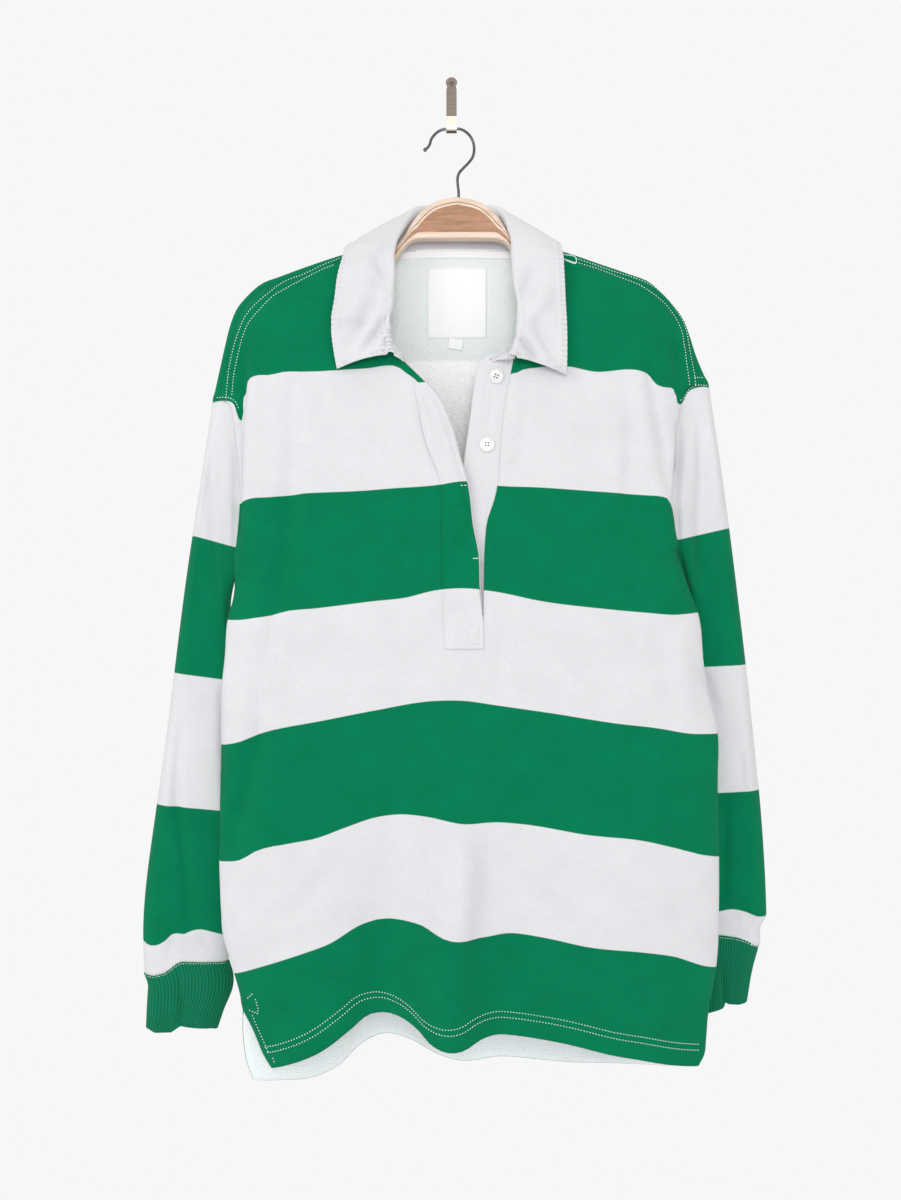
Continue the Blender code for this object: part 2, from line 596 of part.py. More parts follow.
class Shell:
    """All the knitted panels as one surface, so that two panels share a seam's normals."""

    def __init__(self):
        self.index = {}
        self.points = []
        self.panels = {}

    def key(self, point):
        return tuple(np.round(point / (0.01 * MM)).astype(int))

    def add(self, panel, grid, flip, closed=False):
        rows, columns = grid.shape[:2]
        numbers = []
        for point in grid.reshape(-1, 3):
            key = self.key(point)
            if key not in self.index:
                self.index[key] = len(self.points)
                self.points.append(point)
            numbers.append(self.index[key])
        for face in grid_faces(rows, columns, flip, closed):
            self.panels.setdefault(panel, []).append(tuple(numbers[k] for k in face))

    def finish(self, flat_rings):
        self.points = np.array(self.points)
        every = [face for faces in self.panels.values() for face in faces]
        self.normals = vertex_normals(self.points, every)
        for ring, axis in flat_rings:
            for point in ring:
                number = self.index[self.key(point)]
                normal = self.normals[number] - axis * np.dot(self.normals[number], axis)
                self.normals[number] = normal / np.linalg.norm(normal)

    def set_in(self, point, distance):
        """The point moved in from the surface, or out by a negative distance."""
        number = self.index[self.key(point)]
        return self.points[number] - self.normals[number] * distance

    def build(self, panel, finish, own_normals, also_seams=()):
        """One panel's wall, its seam edges drawn back by half the seam's space."""
        faces = self.panels[panel]
        normals = self.normals.copy()
        for point, normal in own_normals:
            normals[self.index[self.key(point)]] = normal / np.linalg.norm(normal)
        seams = {pair for name, rest in self.panels.items() if name != panel
                 for pair in directed_edges(rest)}
        ring = [self.index[self.key(point)] for point in also_seams]
        seams |= set(zip(ring, ring[1:] + ring[:1])) | set(zip(ring[1:] + ring[:1], ring))
        drawn = {}
        for a, b in directed_edges(faces):
            if (b, a) in seams:
                for k in (a, b):
                    inward = np.cross(normals[k], self.points[b] - self.points[a])
                    drawn.setdefault(k, []).append(inward / np.linalg.norm(inward))
        used = sorted({k for face in faces for k in face})
        number = {k: n for n, k in enumerate(used)}
        points = self.points[used].copy()
        for k, ways in drawn.items():
            together = max(1 + np.dot(ways[0], ways[-1]), 0.6) if len(ways) > 1 else 1
            points[number[k]] += np.sum(ways, axis=0) / together * 0.55 * SEAM
        faces = [tuple(number[k] for k in face) for face in faces]
        return wall(panel, points, faces, KNIT, finish, normals=normals[used])


def sleeve_grid(side):
    rings = []
    for place in np.linspace(0, 1, SLEEVE_RINGS + 1):
        down, over, up = sleeve_ring(side, place)
        rings.append(np.vstack((down, up[::-1][1:], over[::-1])))
    return np.array(rings)


def ring_axis(outer, inner):
    """The direction square to a ring: up on the right side, down on the left side."""
    run = np.array((inner[0] - outer[0], 0.0, inner[1] - outer[1]))
    axis = np.cross(run, (0.0, 1.0, 0.0))
    return axis / np.linalg.norm(axis)


def build_knit(white):
    shell = Shell()
    right_half, left_half = front_top(-1), front_top(1)
    wraps, upper, lower = back_panels()
    shell.add("front", right_half, flip=True)
    shell.add("front", left_half, flip=False)
    shell.add("front", front_low(right_half, left_half), flip=True)
    shell.add("back", wraps[-1], flip=False)
    shell.add("back", wraps[1], flip=True)
    shell.add("back", upper, flip=False)
    shell.add("back", lower, flip=False)
    ends = []
    for side, name in ((-1, "sleeve_right"), (1, "sleeve_left")):
        grid = sleeve_grid(side)
        shell.add(name, grid, flip=side < 0, closed=True)
        last = SLEEVE[side][-1]
        ends.append((grid[-1], ring_axis((last[0], last[1]), (last[2], last[4]))))
    shell.finish(ends)
    underarms = {-1: right_half[-1, 0], 1: left_half[-1, 0]}
    body = [(point, np.array((0.9 * side, 0.3, 0.0))) for side, point in underarms.items()]
    shell.build("front", white, body)
    shell.build("back", white, body)
    for side, name, (end, _) in zip((-1, 1), ("sleeve_right", "sleeve_left"), ends):
        own = [(underarms[side], np.array((-0.95 * side, -0.1, -0.3)))]
        shell.build(name, white, own, also_seams=end)
    seam = [right_half[i, -1] for i in range(NECKLINE_ROWS, -1, -1)]
    seam += [wraps[-1][i, -1] for i in range(1, len(WRAP_ANGLES))]
    seam += list(back_neck()[1:-1])
    seam += [wraps[1][i, -1] for i in range(len(WRAP_ANGLES) - 1, -1, -1)]
    seam += [left_half[i, -1] for i in range(1, NECKLINE_ROWS + 1)]
    count = len(seam) - 1
    bases = []
    for number, point in enumerate(seam):
        end = min(number, count - number) / NECKLINE_ROWS
        bases.append(shell.set_in(point, KNIT - (KNIT + SEAM + TWILL) * (1 - smooth(end - 0.3))))
    return np.array(bases)


def build_cuff(side, name, finish):
    """A ribbed tube: ribs raised on its outer points, plain inside."""
    rows = []
    for number, (out_x, out_z, in_x, in_z, half) in enumerate(CUFF[side]):
        row = dict(out_x=out_x, out_z=out_z, in_x=in_x, in_y=-30, in_z=in_z, out_y=-30,
                   half=half, corner=1.0)
        front, back = section_edges(row, half * MM)
        ring = np.vstack((front, back[::-1][1:-1]))
        ring = along(np.vstack((ring, ring[:1])), np.arange(2 * RIBS) / (2 * RIBS))
        if number == 0:
            ring = ring + ring_axis((out_x, out_z), (in_x, in_z)) * 0.6 * SEAM * side
        rows.append(ring)
    grid = np.array(rows)
    count = 2 * RIBS
    faces = grid_faces(len(rows), count, flip=side < 0, closed=True)
    points = grid.reshape(-1, 3)
    normals = vertex_normals(points, faces)
    top = CUFF[side][0]
    axis = ring_axis((top[0], top[1]), (top[2], top[3]))
    normals[:count] -= np.outer(normals[:count] @ axis, axis)
    normals /= np.linalg.norm(normals, axis=1)[:, None]
    raised = np.tile(np.where(np.arange(count) % 2, RIB_RISE, 0.0), len(rows))
    wall(name, points, faces, KNIT, finish, normals=normals, raised=raised)


# ---------------------------------------------------------------- collar, placket, trims

def underlap_y(x, z):
    """Depth of the underlap: behind the front's left half, deeper towards its free edge."""
    slit = np.interp(-z, -mm(SLIT[1])[:, 1], mm(SLIT[1])[:, 0])
    inside = np.clip(slit - x, 0, None)
    start, height, back = UNDERLAP_FOOT
    low = smooth((start * MM - z) / (height * MM))
    beside = np.clip(inside / (2 * UNDERLAP_STEP * MM), 0, 1)
    return (front_y(x, z) + KNIT + SEAM + UNDERLAP_STEP * MM * beside + UNDERLAP_LEAN * inside
            + back * MM * low)


def strip(name, left, right, sizes, depth, finish):
    """A strip of cloth between two edges x(z), following a depth, visible face forward."""
    top, foot, rows, columns = sizes
    z = np.linspace(top * MM, foot * MM, rows)[:, None]
    x_left = np.interp(-z[:, 0], -left[:, 1], left[:, 0])[:, None]
    x_right = np.interp(-z[:, 0], -right[:, 1], right[:, 0])[:, None]
    x = x_left + (x_right - x_left) * np.linspace(0, 1, columns)[None]
    z = np.broadcast_to(z, x.shape)
    grid = np.stack((x, depth(x, z), z), axis=2)
    faces = grid_faces(rows, columns, flip=True)
    wall(name, grid.reshape(-1, 3), faces, STRIP, finish)


def build_placket(twill, knit):
    open_edge, far_edge = mm(SLIT[-1]), mm(SLIT[1])
    seam_edge, free_edge = mm(FLY_SEAM), mm(UNDERLAP_EDGE)
    corner = (open_edge[-1, 0], STRIPS["placket_fly"][1] * MM)
    strip("placket_fly", seam_edge, np.vstack((open_edge, corner)), STRIPS["placket_fly"],
          lambda x, z: front_y(x, z) - SEAM - STRIP, knit)
    lip = open_edge + (FACING_LIP * MM, 0.0)
    strip("placket_facing", seam_edge, lip, STRIPS["placket_facing"],
          lambda x, z: front_y(x, z) + KNIT + SEAM, twill)
    tuck = far_edge + (UNDERLAP_TUCK * MM, 0.0)
    strip("placket_underlap", free_edge, tuck, STRIPS["placket_underlap"], underlap_y, twill)


def build_collar(neck_seam, finish):
    """One band of twill: up from the neck seam, over the roll line and down to its edge."""
    tail = [(x * MM, float(underlap_y(np.array(x * MM), np.array(z * MM))) - 0.5 * MM, z * MM)
            for x, z in COLLAR_TAIL]
    seam = np.vstack((neck_seam, tail))
    table = np.array(COLLAR)
    along_band = table[:, 0]
    stations = np.linspace(0, 1, COLLAR_STATIONS + 1)
    seam_points = along(seam, stations)
    values = [np.array([lookup(list(zip(along_band, table[:, k] * MM)), s) for s in stations])
              for k in range(1, 7)]
    rolls, edges = np.stack(values[:3], axis=1), np.stack(values[3:], axis=1)
    rows = []
    for base, roll, edge in zip(seam_points, rolls, edges):
        rise = (roll - base) / np.linalg.norm(roll - base)
        fall = (edge - roll) / np.linalg.norm(edge - roll)
        apex = (rise - fall) / np.linalg.norm(rise - fall)
        out = edge - base
        out -= apex * np.dot(out, apex)
        out /= np.linalg.norm(out)
        base = base + rise * (SEAM + 0.7 * TWILL)
        turn = [roll + out * ROLL_HALF_WIDTH * sin(radians(a))
                - apex * ROLL_HALF_WIDTH * (1 - cos(radians(a))) for a in TURN_ANGLES]
        crown = np.cross(np.cross(fall, apex), fall)
        crown /= max(np.linalg.norm(crown), 1e-9)
        stand = [base + (turn[0] - base) * t for t in (0.0, 0.5)]
        leaf = [turn[-1] + (edge - turn[-1]) * t + crown * LEAF_CROWN * sin(pi * t)
                for t in LEAF_ROWS]
        rows.append(stand + turn + leaf)
    grid = np.array(rows)
    faces = grid_faces(grid.shape[0], grid.shape[1], flip=False)
    wall("collar", grid.reshape(-1, 3), faces, TWILL, finish)


def panel_patch(name, left, right, top, foot, depth, finish):
    edges = [np.array(((x * MM, 0.0), (x * MM, -1.0))) for x in (left, right)]
    strip(name, edges[0], edges[1], (top, foot, 4, 5), depth, finish)


def build_labels(white):
    def inside(x, z):
        return back_y(z) - KNIT - SEAM - STRIP
    panel_patch("neck_label", *LABEL, inside, white)
    panel_patch("size_tag", *SIZE_TAG, inside, white)


def build_tape(white):
    """The tape that covers the back neck seam inside."""
    x = np.linspace(TAPE[0] * MM, TAPE[1] * MM, 12)
    neck = back_neck()
    edge_z = np.interp(x, neck[:, 0], neck[:, 2])
    edge_y = np.interp(x, neck[:, 0], neck[:, 1])
    rows = []
    for drop in TAPE[2:]:
        rows.append(np.stack((x, edge_y - KNIT - TAPE_STAND - STRIP, edge_z - drop * MM),
                             axis=1))
    grid = np.array(rows)
    wall("neck_tape", grid.reshape(-1, 3), grid_faces(2, len(x), flip=True), STRIP, white)


def build_button(name, x, z, finish):
    """A turned button with a raised rim and four holes, lying on the underlap."""
    seat = float(underlap_y(np.array(x * MM), np.array(z * MM)))
    turns = np.radians(np.arange(BUTTON_SIDES) * 360 / BUTTON_SIDES)
    rings = [[(radius * BUTTON_RADIUS * cos(a), radius * BUTTON_RADIUS * sin(a),
               height * BUTTON_THICK) for a in turns] for radius, height in BUTTON_PROFILE]
    thing = tube(name, rings, finish, 40)
    step = 3 * MM
    spots = [(x * MM + dx, z * MM + dz) for dx, dz in ((step, 0), (-step, 0), (0, step), (0, -step))]
    depths = [float(underlap_y(np.array(a), np.array(b))) for a, b in spots]
    facing = Vector(((depths[0] - depths[1]) / (2 * step), -1.0, (depths[2] - depths[3]) / (2 * step)))
    facing.normalize()
    thing.rotation_euler = facing.to_track_quat("Z", "Y").to_euler()
    thing.location = Vector((x * MM, seat, z * MM)) + facing * BUTTON_STAND
    for k in range(4):
        angle = pi / 4 + k * pi / 2
        bpy.ops.mesh.primitive_cylinder_add(vertices=8, radius=BUTTON_HOLE, depth=4 * BUTTON_THICK)
        cutter = bpy.context.object
        cutter.name = name + "_hole"
        cutter.parent = thing
        cutter.location = (HOLE_RADIUS * cos(angle), HOLE_RADIUS * sin(angle), 0.0)
        cutter.hide_render = True
        cutter.display_type = "WIRE"
        cut = thing.modifiers.new("hole", "BOOLEAN")
        cut.object = cutter
        cut.operation = "DIFFERENCE"
        cut.solver = "EXACT"


# ---------------------------------------------------------------- hanger and wall hook

def ridge_height(side, x):
    ridge = shoulder(side, 1 - side_fractions(SHOULDER_COLUMNS), 0)
    order = np.argsort(ridge[:, 0])
    return float(np.interp(x, ridge[order, 0], ridge[order, 2]))


def tube(name, rings, finish, sharp):
    """A closed solid through rings of points, capped at both ends."""
    made = bmesh.new()
    rows = [[made.verts.new(tuple(point)) for point in ring] for ring in rings]
    count = len(rows[0])
    for low, high in zip(rows, rows[1:]):
        for k in range(count):
            n = (k + 1) % count
            made.faces.new((low[k], low[n], high[n], high[k]))
    made.faces.new(rows[0][::-1])
    made.faces.new(rows[-1])
    bmesh.ops.recalc_face_normals(made, faces=made.faces)
    mesh = bpy.data.meshes.new(name)
    made.to_mesh(mesh)
    made.free()
    mesh.shade_smooth()
    mesh.set_sharp_from_angle(angle=radians(sharp))
    return add_object(name, mesh, finish)


def hanger_stations(side):
    """Across one half of the hanger, from the middle out: x, top z, foot z and inset."""
    rows = [(dx * MM, top * MM, foot * MM, 0.0) for dx, top, foot in HANGER_HUMP]
    for reach, clear, deep in HANGER_ARM:
        top = ridge_height(side, HANGER_X + side * reach * MM) - KNIT - clear * MM
        rows.append((reach * MM, top, top - deep * MM, 0.0))
    reach, top, foot, _ = rows[-1]
    for along_end, inset in HANGER_END:
        drop = HANGER_SLOPE * along_end
        rows.append((reach + along_end * MM, top - (drop + inset) * MM,
                     foot - (drop - inset) * MM, inset * MM))
    return rows


def build_hanger(wood):
    """The wooden shoulders: rounded upright sections from one tip to the other."""
    rows = [(-reach, *rest) for reach, *rest in hanger_stations(-1)[::-1]]
    rows += hanger_stations(1)[1:]
    rings = []
    for reach, top, foot, inset in rows:
        half = WOOD_THICK / 2 - 0.7 * inset
        edge = min(WOOD_ROUND, 0.45 * (top - foot))
        section = [(across * half, down * edge) for across, down in WOOD_SECTION]
        right = [(depth, top - drop) for depth, drop in section]
        right += [(depth, foot + drop) for depth, drop in section[::-1]]
        ring = right + [(-depth, z) for depth, z in right[::-1]]
        rings.append([(HANGER_X + reach, RIDGE_Y + depth, z) for depth, z in ring])
    tube("hanger_wood", rings, wood, 40)


def build_wire(steel):
    """The hanger's hook: a ball end, a loop over the wall hook and a stem into the wood."""
    loop = [(LOOP_X + LOOP_RADIUS * cos(radians(a)), LOOP_Z + LOOP_RADIUS * sin(radians(a)))
            for a in range(150, -46, -15)]
    route = curve(np.vstack((mm(WIRE_TIP), loop, mm(WIRE_STEM))), np.linspace(0, 1, 40))
    run = np.gradient(route, axis=0)
    run /= np.linalg.norm(run, axis=1)[:, None]
    back = route[0] - run[0] * 1.2 * MM
    route = np.vstack((back, route[0], route[0] + run[0] * 1.2 * MM, route[1:]))
    run = np.vstack((run[0], run[0], run[0], run[1:]))
    radii = np.full(len(route), WIRE_RADIUS)
    radii[:3] = mm(WIRE_BALL)
    top = LOOP_Z + LOOP_RADIUS
    turns = np.radians(np.arange(WIRE_SIDES) * 360 / WIRE_SIDES)
    rings = []
    for (x, z), (run_x, run_z), radius in zip(route, run, radii):
        lean = (top - z) / (top - WIRE_STEM[-1][1] * MM)
        depth = HOOK_Y + (RIDGE_Y - HOOK_Y) * lean
        rings.append([(x + run_z * radius * cos(a), depth + radius * sin(a),
                       z - run_x * radius * cos(a)) for a in turns])
    tube("hanger_wire", rings, steel, 60)


def build_wall_hook(steel):
    """A flat strip with a lobed top, bent out at its foot into a J that carries the wire."""
    reach = HOOK_HALF + LOOP_X
    sag = LOOP_RADIUS - (LOOP_RADIUS**2 - reach**2) ** 0.5
    seat = LOOP_Z + LOOP_RADIUS - WIRE_RADIUS - sag - SEAM
    middle = seat - HOOK_THICK + HOOK_TURN
    side = [(0.0, z * MM) for z, _ in HOOK_LOBE[::-1]] + mm(HOOK_BEND).tolist()
    side += [(HOOK_Y + HOOK_TURN * cos(radians(a)), middle + HOOK_TURN * sin(radians(a)))
             for a in HOOK_TURN_ANGLES]
    side += [(HOOK_Y - HOOK_TURN, seat + HOOK_LIP)]
    side = np.array(side)
    run = np.gradient(side, axis=0)
    run /= np.linalg.norm(run, axis=1)[:, None]
    square = np.stack((run[:, 1], -run[:, 0]), axis=1)
    half_widths = [np.interp(z, *zip(*mm(HOOK_LOBE))) if y == 0 else HOOK_HALF for y, z in side]
    rings = []
    for half, a, b in zip(half_widths, side, side + square * HOOK_THICK):
        rings.append([(-half, *a), (half, *a), (half, *b), (-half, *b)])
    tube("wall_hook", rings, steel, 30)


def main():
    for old in list(bpy.data.objects):
        bpy.data.objects.remove(old, do_unlink=True)
    white = material("striped_terry", (0.02, 0.25, 0.11), 0.9)
    rib = material("green_rib", (0.01, 0.2, 0.1), 0.9)
    twill = material("white_twill", (0.85, 0.85, 0.86), 0.85)
    label = material("white_label", (0.9, 0.9, 0.9), 0.7)
    shell_button = material("white_button", (0.86, 0.86, 0.84), 0.3)
    wood = material("beech", (0.62, 0.4, 0.24), 0.45)
    steel = material("hook_steel", (0.45, 0.44, 0.43), 0.3, 1.0)
    neck_seam = build_knit(white)
    build_cuff(-1, "cuff_right", rib)
    build_cuff(1, "cuff_left", rib)
    build_collar(neck_seam, twill)
    build_placket(twill, white)
    build_tape(twill)
    build_labels(label)
    for name, (x, z) in BUTTONS.items():
        build_button(name, x, z, shell_button)
    build_hanger(wood)
    build_wire(steel)
    build_wall_hook(steel)


main()
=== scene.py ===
# %% [markdown]
# # A striped rugby shirt on a wooden hanger
# The solids from the CAD model come in first and stay where they are: the shirt's walls, the
# hanger and the wall hook, in metres, with +Z up and the wall at y = 0. Everything below dresses
# them. The shirt's front faces -Y and the wearer's left is at +X.

# %% Load the frame
from math import cos, pi, radians, sin

import bmesh
import bpy
import numpy as np
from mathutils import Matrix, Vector
from mathutils.bvhtree import BVHTree


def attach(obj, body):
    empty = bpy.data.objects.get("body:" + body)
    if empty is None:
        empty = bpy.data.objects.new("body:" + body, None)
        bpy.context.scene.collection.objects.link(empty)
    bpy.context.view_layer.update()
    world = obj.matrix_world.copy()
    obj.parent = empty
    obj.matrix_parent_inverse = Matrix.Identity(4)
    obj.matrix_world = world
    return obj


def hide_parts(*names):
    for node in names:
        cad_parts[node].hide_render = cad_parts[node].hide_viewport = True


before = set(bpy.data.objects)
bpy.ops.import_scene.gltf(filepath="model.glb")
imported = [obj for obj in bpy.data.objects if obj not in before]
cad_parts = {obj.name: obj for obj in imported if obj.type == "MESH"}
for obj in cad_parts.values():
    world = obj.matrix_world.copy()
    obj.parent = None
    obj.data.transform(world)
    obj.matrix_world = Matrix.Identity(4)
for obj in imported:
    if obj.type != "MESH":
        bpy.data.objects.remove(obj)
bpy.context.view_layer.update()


def put(name, data):
    """A new object that holds some data, linked into the scene."""
    thing = bpy.data.objects.new(name, data)
    bpy.context.collection.objects.link(thing)
    return thing


def dress(piece, node):
    """The piece hangs still with the shirt and stands for a solid, which is hidden."""
    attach(piece, "root")
    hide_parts(node)


print("solids:", sorted(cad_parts))

# %% [markdown]
# ## Camera
# The camera stands level with the middle of the shirt, 1.27 m from the wall, and looks straight
# at it. The lens is worked out from a focal length in picture points: Blender fits its 36 mm
# sensor to the longer side, which is 1200 points high.

# %% Camera
FOCAL_POINTS = 1263.0
POINTS_HIGH = 1200
SENSOR = 36.0
camera = put("camera", bpy.data.cameras.new("camera"))
camera.data.lens = FOCAL_POINTS / POINTS_HIGH * SENSOR
camera.data.sensor_width = SENSOR
camera.location = (-0.001, -1.27, -0.5)
camera.rotation_euler = (radians(90), 0, 0)
bpy.context.scene.camera = camera
print("lens", round(camera.data.lens, 2), "mm")

# %% [markdown]
# ## Light and floor
# White cotton needs a large, even light, or its folds turn into hard shadows. The room itself is
# a bright white, and soft panels add direction: one from the upper left, one straight in front
# that reaches into the neck, and one behind for the views from the back. The pale floor lies
# below the view from the front. White cloth has to stay nearly as bright as the room, so colours
# are shown plainly, without a film curve that would turn white into grey and weaken the green.

# %% Light and floor
def colour(code):
    """An sRGB hex colour as linear red, green, blue and a full alpha."""
    parts = [int(code[k:k + 2], 16) / 255 for k in (1, 3, 5)]
    return (*(c / 12.92 if c <= 0.04045 else ((c + 0.055) / 1.055) ** 2.4 for c in parts), 1)


def finish_of(name, roughness, **sockets):
    """A new material, its tree and its shader, with constants on the shader's own sockets."""
    made = bpy.data.materials.new(name)
    made.use_nodes = True
    shader = made.node_tree.nodes["Principled BSDF"]
    shader.inputs["Roughness"].default_value = roughness
    for place, value in sockets.items():
        shader.inputs[place.replace("_", " ")].default_value = value
    return made, made.node_tree, shader


def soft_panel(name, place, aim, width, watts):
    light = bpy.data.lights.new(name, "AREA")
    light.shape = "SQUARE"
    light.size = width
    light.energy = watts
    thing = put(name, light)
    thing.location = place
    thing.rotation_euler = (Vector(aim) - Vector(place)).to_track_quat("-Z", "Y").to_euler()


soft_panel("window_light", (-2.1, -1.5, 0.7), (0, 0, -0.5), 0.9, 13)
soft_panel("front_light", (0.1, -2.5, 0.1), (0, 0, -0.4), 0.8, 17)
soft_panel("back_light", (0.8, 2.4, 1.0), (0, 0, -0.5), 1.6, 16)

room = bpy.data.worlds.new("white_room")
room.use_nodes = True
room.node_tree.nodes["Background"].inputs["Color"].default_value = colour("#F7F7F8")
room.node_tree.nodes["Background"].inputs["Strength"].default_value = 1.0
bpy.context.scene.world = room
bpy.context.scene.view_settings.view_transform = "Standard"

bpy.ops.mesh.primitive_plane_add(size=1, location=(0, -1.1, -1.31))
floor = bpy.context.object
floor.name = "floor"
floor.scale = (5.0, 2.8, 1)
floor.data.materials.append(finish_of("pale_floor_paint", 0.7, Base_Color=colour("#EDEDEE"))[0])

# %% [markdown]
# ## How the cloth hangs
# A shirt on a hanger is a few flat panels bent by the places that hold them: the shoulder ridge
# over the hanger's arms, the armholes, the side seams, the neckline and the hem. Each of those is
# a smooth curve through a short table of points, in millimetres. A panel is then spread between
# its four edges, and its depth comes from a table of how far it hangs from the wall, plus folds.
# These are the same numbers that the solids were made from, only read at more places.

# %% The shirt's lines
MM = 0.001
KNIT = 1.6 * MM               # thickness of the jersey
TWILL = 1.4 * MM              # thickness of the two-ply collar
STRIP = 1.0 * MM              # thickness of the placket strips, tape and labels
SEAM = 0.3 * MM               # room between two sewn pieces
SHOULDER_ROUND = 10 * MM      # radius over which the cloth turns at the shoulder ridge
FRONT_ROUND = 60 * MM         # how wide the front rounds back at its sides
BACK_TAPER = 110 * MM         # how wide the back comes forward at its sides
TOP_ROUND = 55 * MM           # how deep both round over below the shoulders
BACK_SIDE_SHARE = 0.4         # part of the back's width on each side of the neck
TURN_SHARE = 0.27             # part of a half front's width that rounds back
CROWDING = 1.25               # above 1, rows crowd together towards the underarm
SEAM_CROWDING = 1.5           # and down the side seam
END_CLOSE = (1.8, 0.3)        # how a flat tube closes at its inner end: in turns, in widths
RIDGE_Y = -31 * MM            # depth of the shoulder ridge
RIBS = 58                     # ribs round a cuff
TURN_COLUMNS = 12             # the counts of rows and columns are about four times the solids'
SHOULDER_COLUMNS = 40
NECK_COLUMNS = 28
ARM_ROWS = 48
BACK_ARM_ROWS = 36
NECKLINE_ROWS = 20
SEAM_ROWS = 100
VENT_ROWS = 12
SLEEVE_RINGS = 110
WRAP_ANGLES = tuple(np.linspace(75, -75, 13))     # over the shoulder, from the front to the back
WIRE_RADIUS = 1.4 * MM
WIRE_BALL = 2.0 * MM          # radius of the ball on the wire's tip
WOOD_THICK = 12 * MM
HANGER_X = 5.5 * MM           # the hanger hangs a little to one side of the hook
HOOK_Y = -20 * MM             # middle of the wall hook's trough
HOOK_THICK = 1.5 * MM
BUTTON_RADIUS = 7.1 * MM
BUTTON_THICK = 2.6 * MM
BUTTON_STAND = 0.48 * MM      # how far a button's back stands off the cloth
BUTTON_HOLE = 0.95 * MM
HOLE_RADIUS = 1.9 * MM        # how far each hole lies from the button's middle

# Shoulder ridge, from the neck out to the sleeve head: x, z in mm
RIDGE = {
    -1: [(-74, -154), (-104, -161), (-138, -172), (-168, -183), (-186, -190), (-200, -202),
         (-210, -214), (-217, -231), (-222, -251), (-228, -278), (-234, -305)],
    1: [(78, -151), (107, -158), (149, -172), (175, -181), (193, -188), (206, -199),
        (217, -211), (226, -223), (233, -240), (239, -259), (245, -274), (252, -289)],
}

# Front neckline from the shoulder seam down to the placket, then the slit's edge: x, z in mm
NECKLINE = {
    -1: [(-73, -172), (-70, -201), (-65, -228), (-57, -254), (-45, -272)],
    1: [(77, -174), (73, -205), (69, -228), (64, -250), (60, -269)],
}
SLIT = {
    -1: [(-45, -272), (-30, -287), (-14, -304), (-1, -333), (8, -367), (14, -386), (20, -431),
         (25, -457), (26, -488), (30, -523)],
    1: [(60, -269), (51, -315), (48, -344), (42, -402), (34, -427), (32, -449), (31, -490),
        (30, -523)],
}
FLY_SEAM = [(-38, -281), (-32, -313), (-25, -347), (-11, -386), (-9, -440), (-8, -500),
            (-7, -546)]

# Side seam from the underarm to the vent: x, y, z in mm
SIDE_SEAM = {
    -1: [(-209, -49, -479), (-210, -54, -497), (-215, -58, -519), (-217, -61, -553),
         (-220, -63, -586), (-220, -64, -648), (-221, -65, -696), (-221, -66, -767),
         (-217, -67, -814), (-205, -68, -848), (-201, -68, -890)],
    1: [(218, -49, -453), (222, -54, -469), (229, -58, -492), (236, -60, -512),
        (242, -62, -566), (247, -63, -592), (254, -64, -625), (254, -65, -674),
        (255, -66, -748), (255, -66, -786), (252, -68, -848), (243, -70, -895)],
}
# Edges of the vents below the side seams: x, y, z in mm
FRONT_VENT = {-1: [(-201, -68, -890), (-195, -71, -902), (-181, -75, -932), (-173, -78, -941)],
              1: [(243, -70, -895), (241, -72, -916), (239, -74, -930), (233, -78, -939)]}
BACK_VENT = {-1: [(-201, -68, -890), (-200, -66, -906), (-196, -63, -938), (-190, -58, -960)],
             1: [(243, -70, -895), (240, -62, -915), (237, -54, -934), (234, -46, -950)]}
# Hems: x, z in mm
FRONT_HEM = [(-173, -941), (-154, -936), (-123, -923), (-94, -903), (-79, -892), (-64, -890),
             (-49, -893), (-33, -901), (-18, -914), (-3, -919), (12, -918), (27, -911),
             (42, -908), (57, -909), (87, -912), (116, -917), (145, -923), (175, -928),
             (206, -935), (233, -939)]
BACK_HEM = [(-190, -960), (-166, -962), (-132, -965), (-112, -959), (-90, -940), (-67, -930),
            (-40, -936), (-15, -950), (8, -957), (50, -953), (87, -956), (124, -959),
            (187, -954), (234, -950)]

# How far the two panels hang from the wall: z, front y, back y in mm
DEPTH = [(-150, -42, -13), (-200, -50, -13), (-250, -56, -13), (-300, -61, -13),
         (-370, -66, -13), (-450, -72, -13), (-520, -77, -13), (-650, -82, -13),
         (-800, -85, -13), (-970, -86, -14)]

# Folds of the front: x and z where it starts, x and z where it is deepest, half width and how
# far it stands forward, in mm.  A "hem" fold stays open to the hem, a "soft" one dies out.
FOLDS = [
    ("middle ridge", "hem", 4, -560, -2, -930, 30, 16),
    ("left of middle", "hem", -52, -560, -66, -930, 30, -13),
    ("right of middle", "hem", 40, -600, 50, -930, 26, -5),
    ("right ridge", "hem", 150, -520, 165, -940, 48, 9),
    ("left ridge", "hem", -138, -560, -130, -940, 32, 3),
    ("left chest", "soft", -152, -310, -154, -560, 15, -4),
    ("right chest", "soft", 176, -300, 196, -520, 16, -4),
    ("left waist", "soft", -170, -600, -160, -880, 20, 3),
]

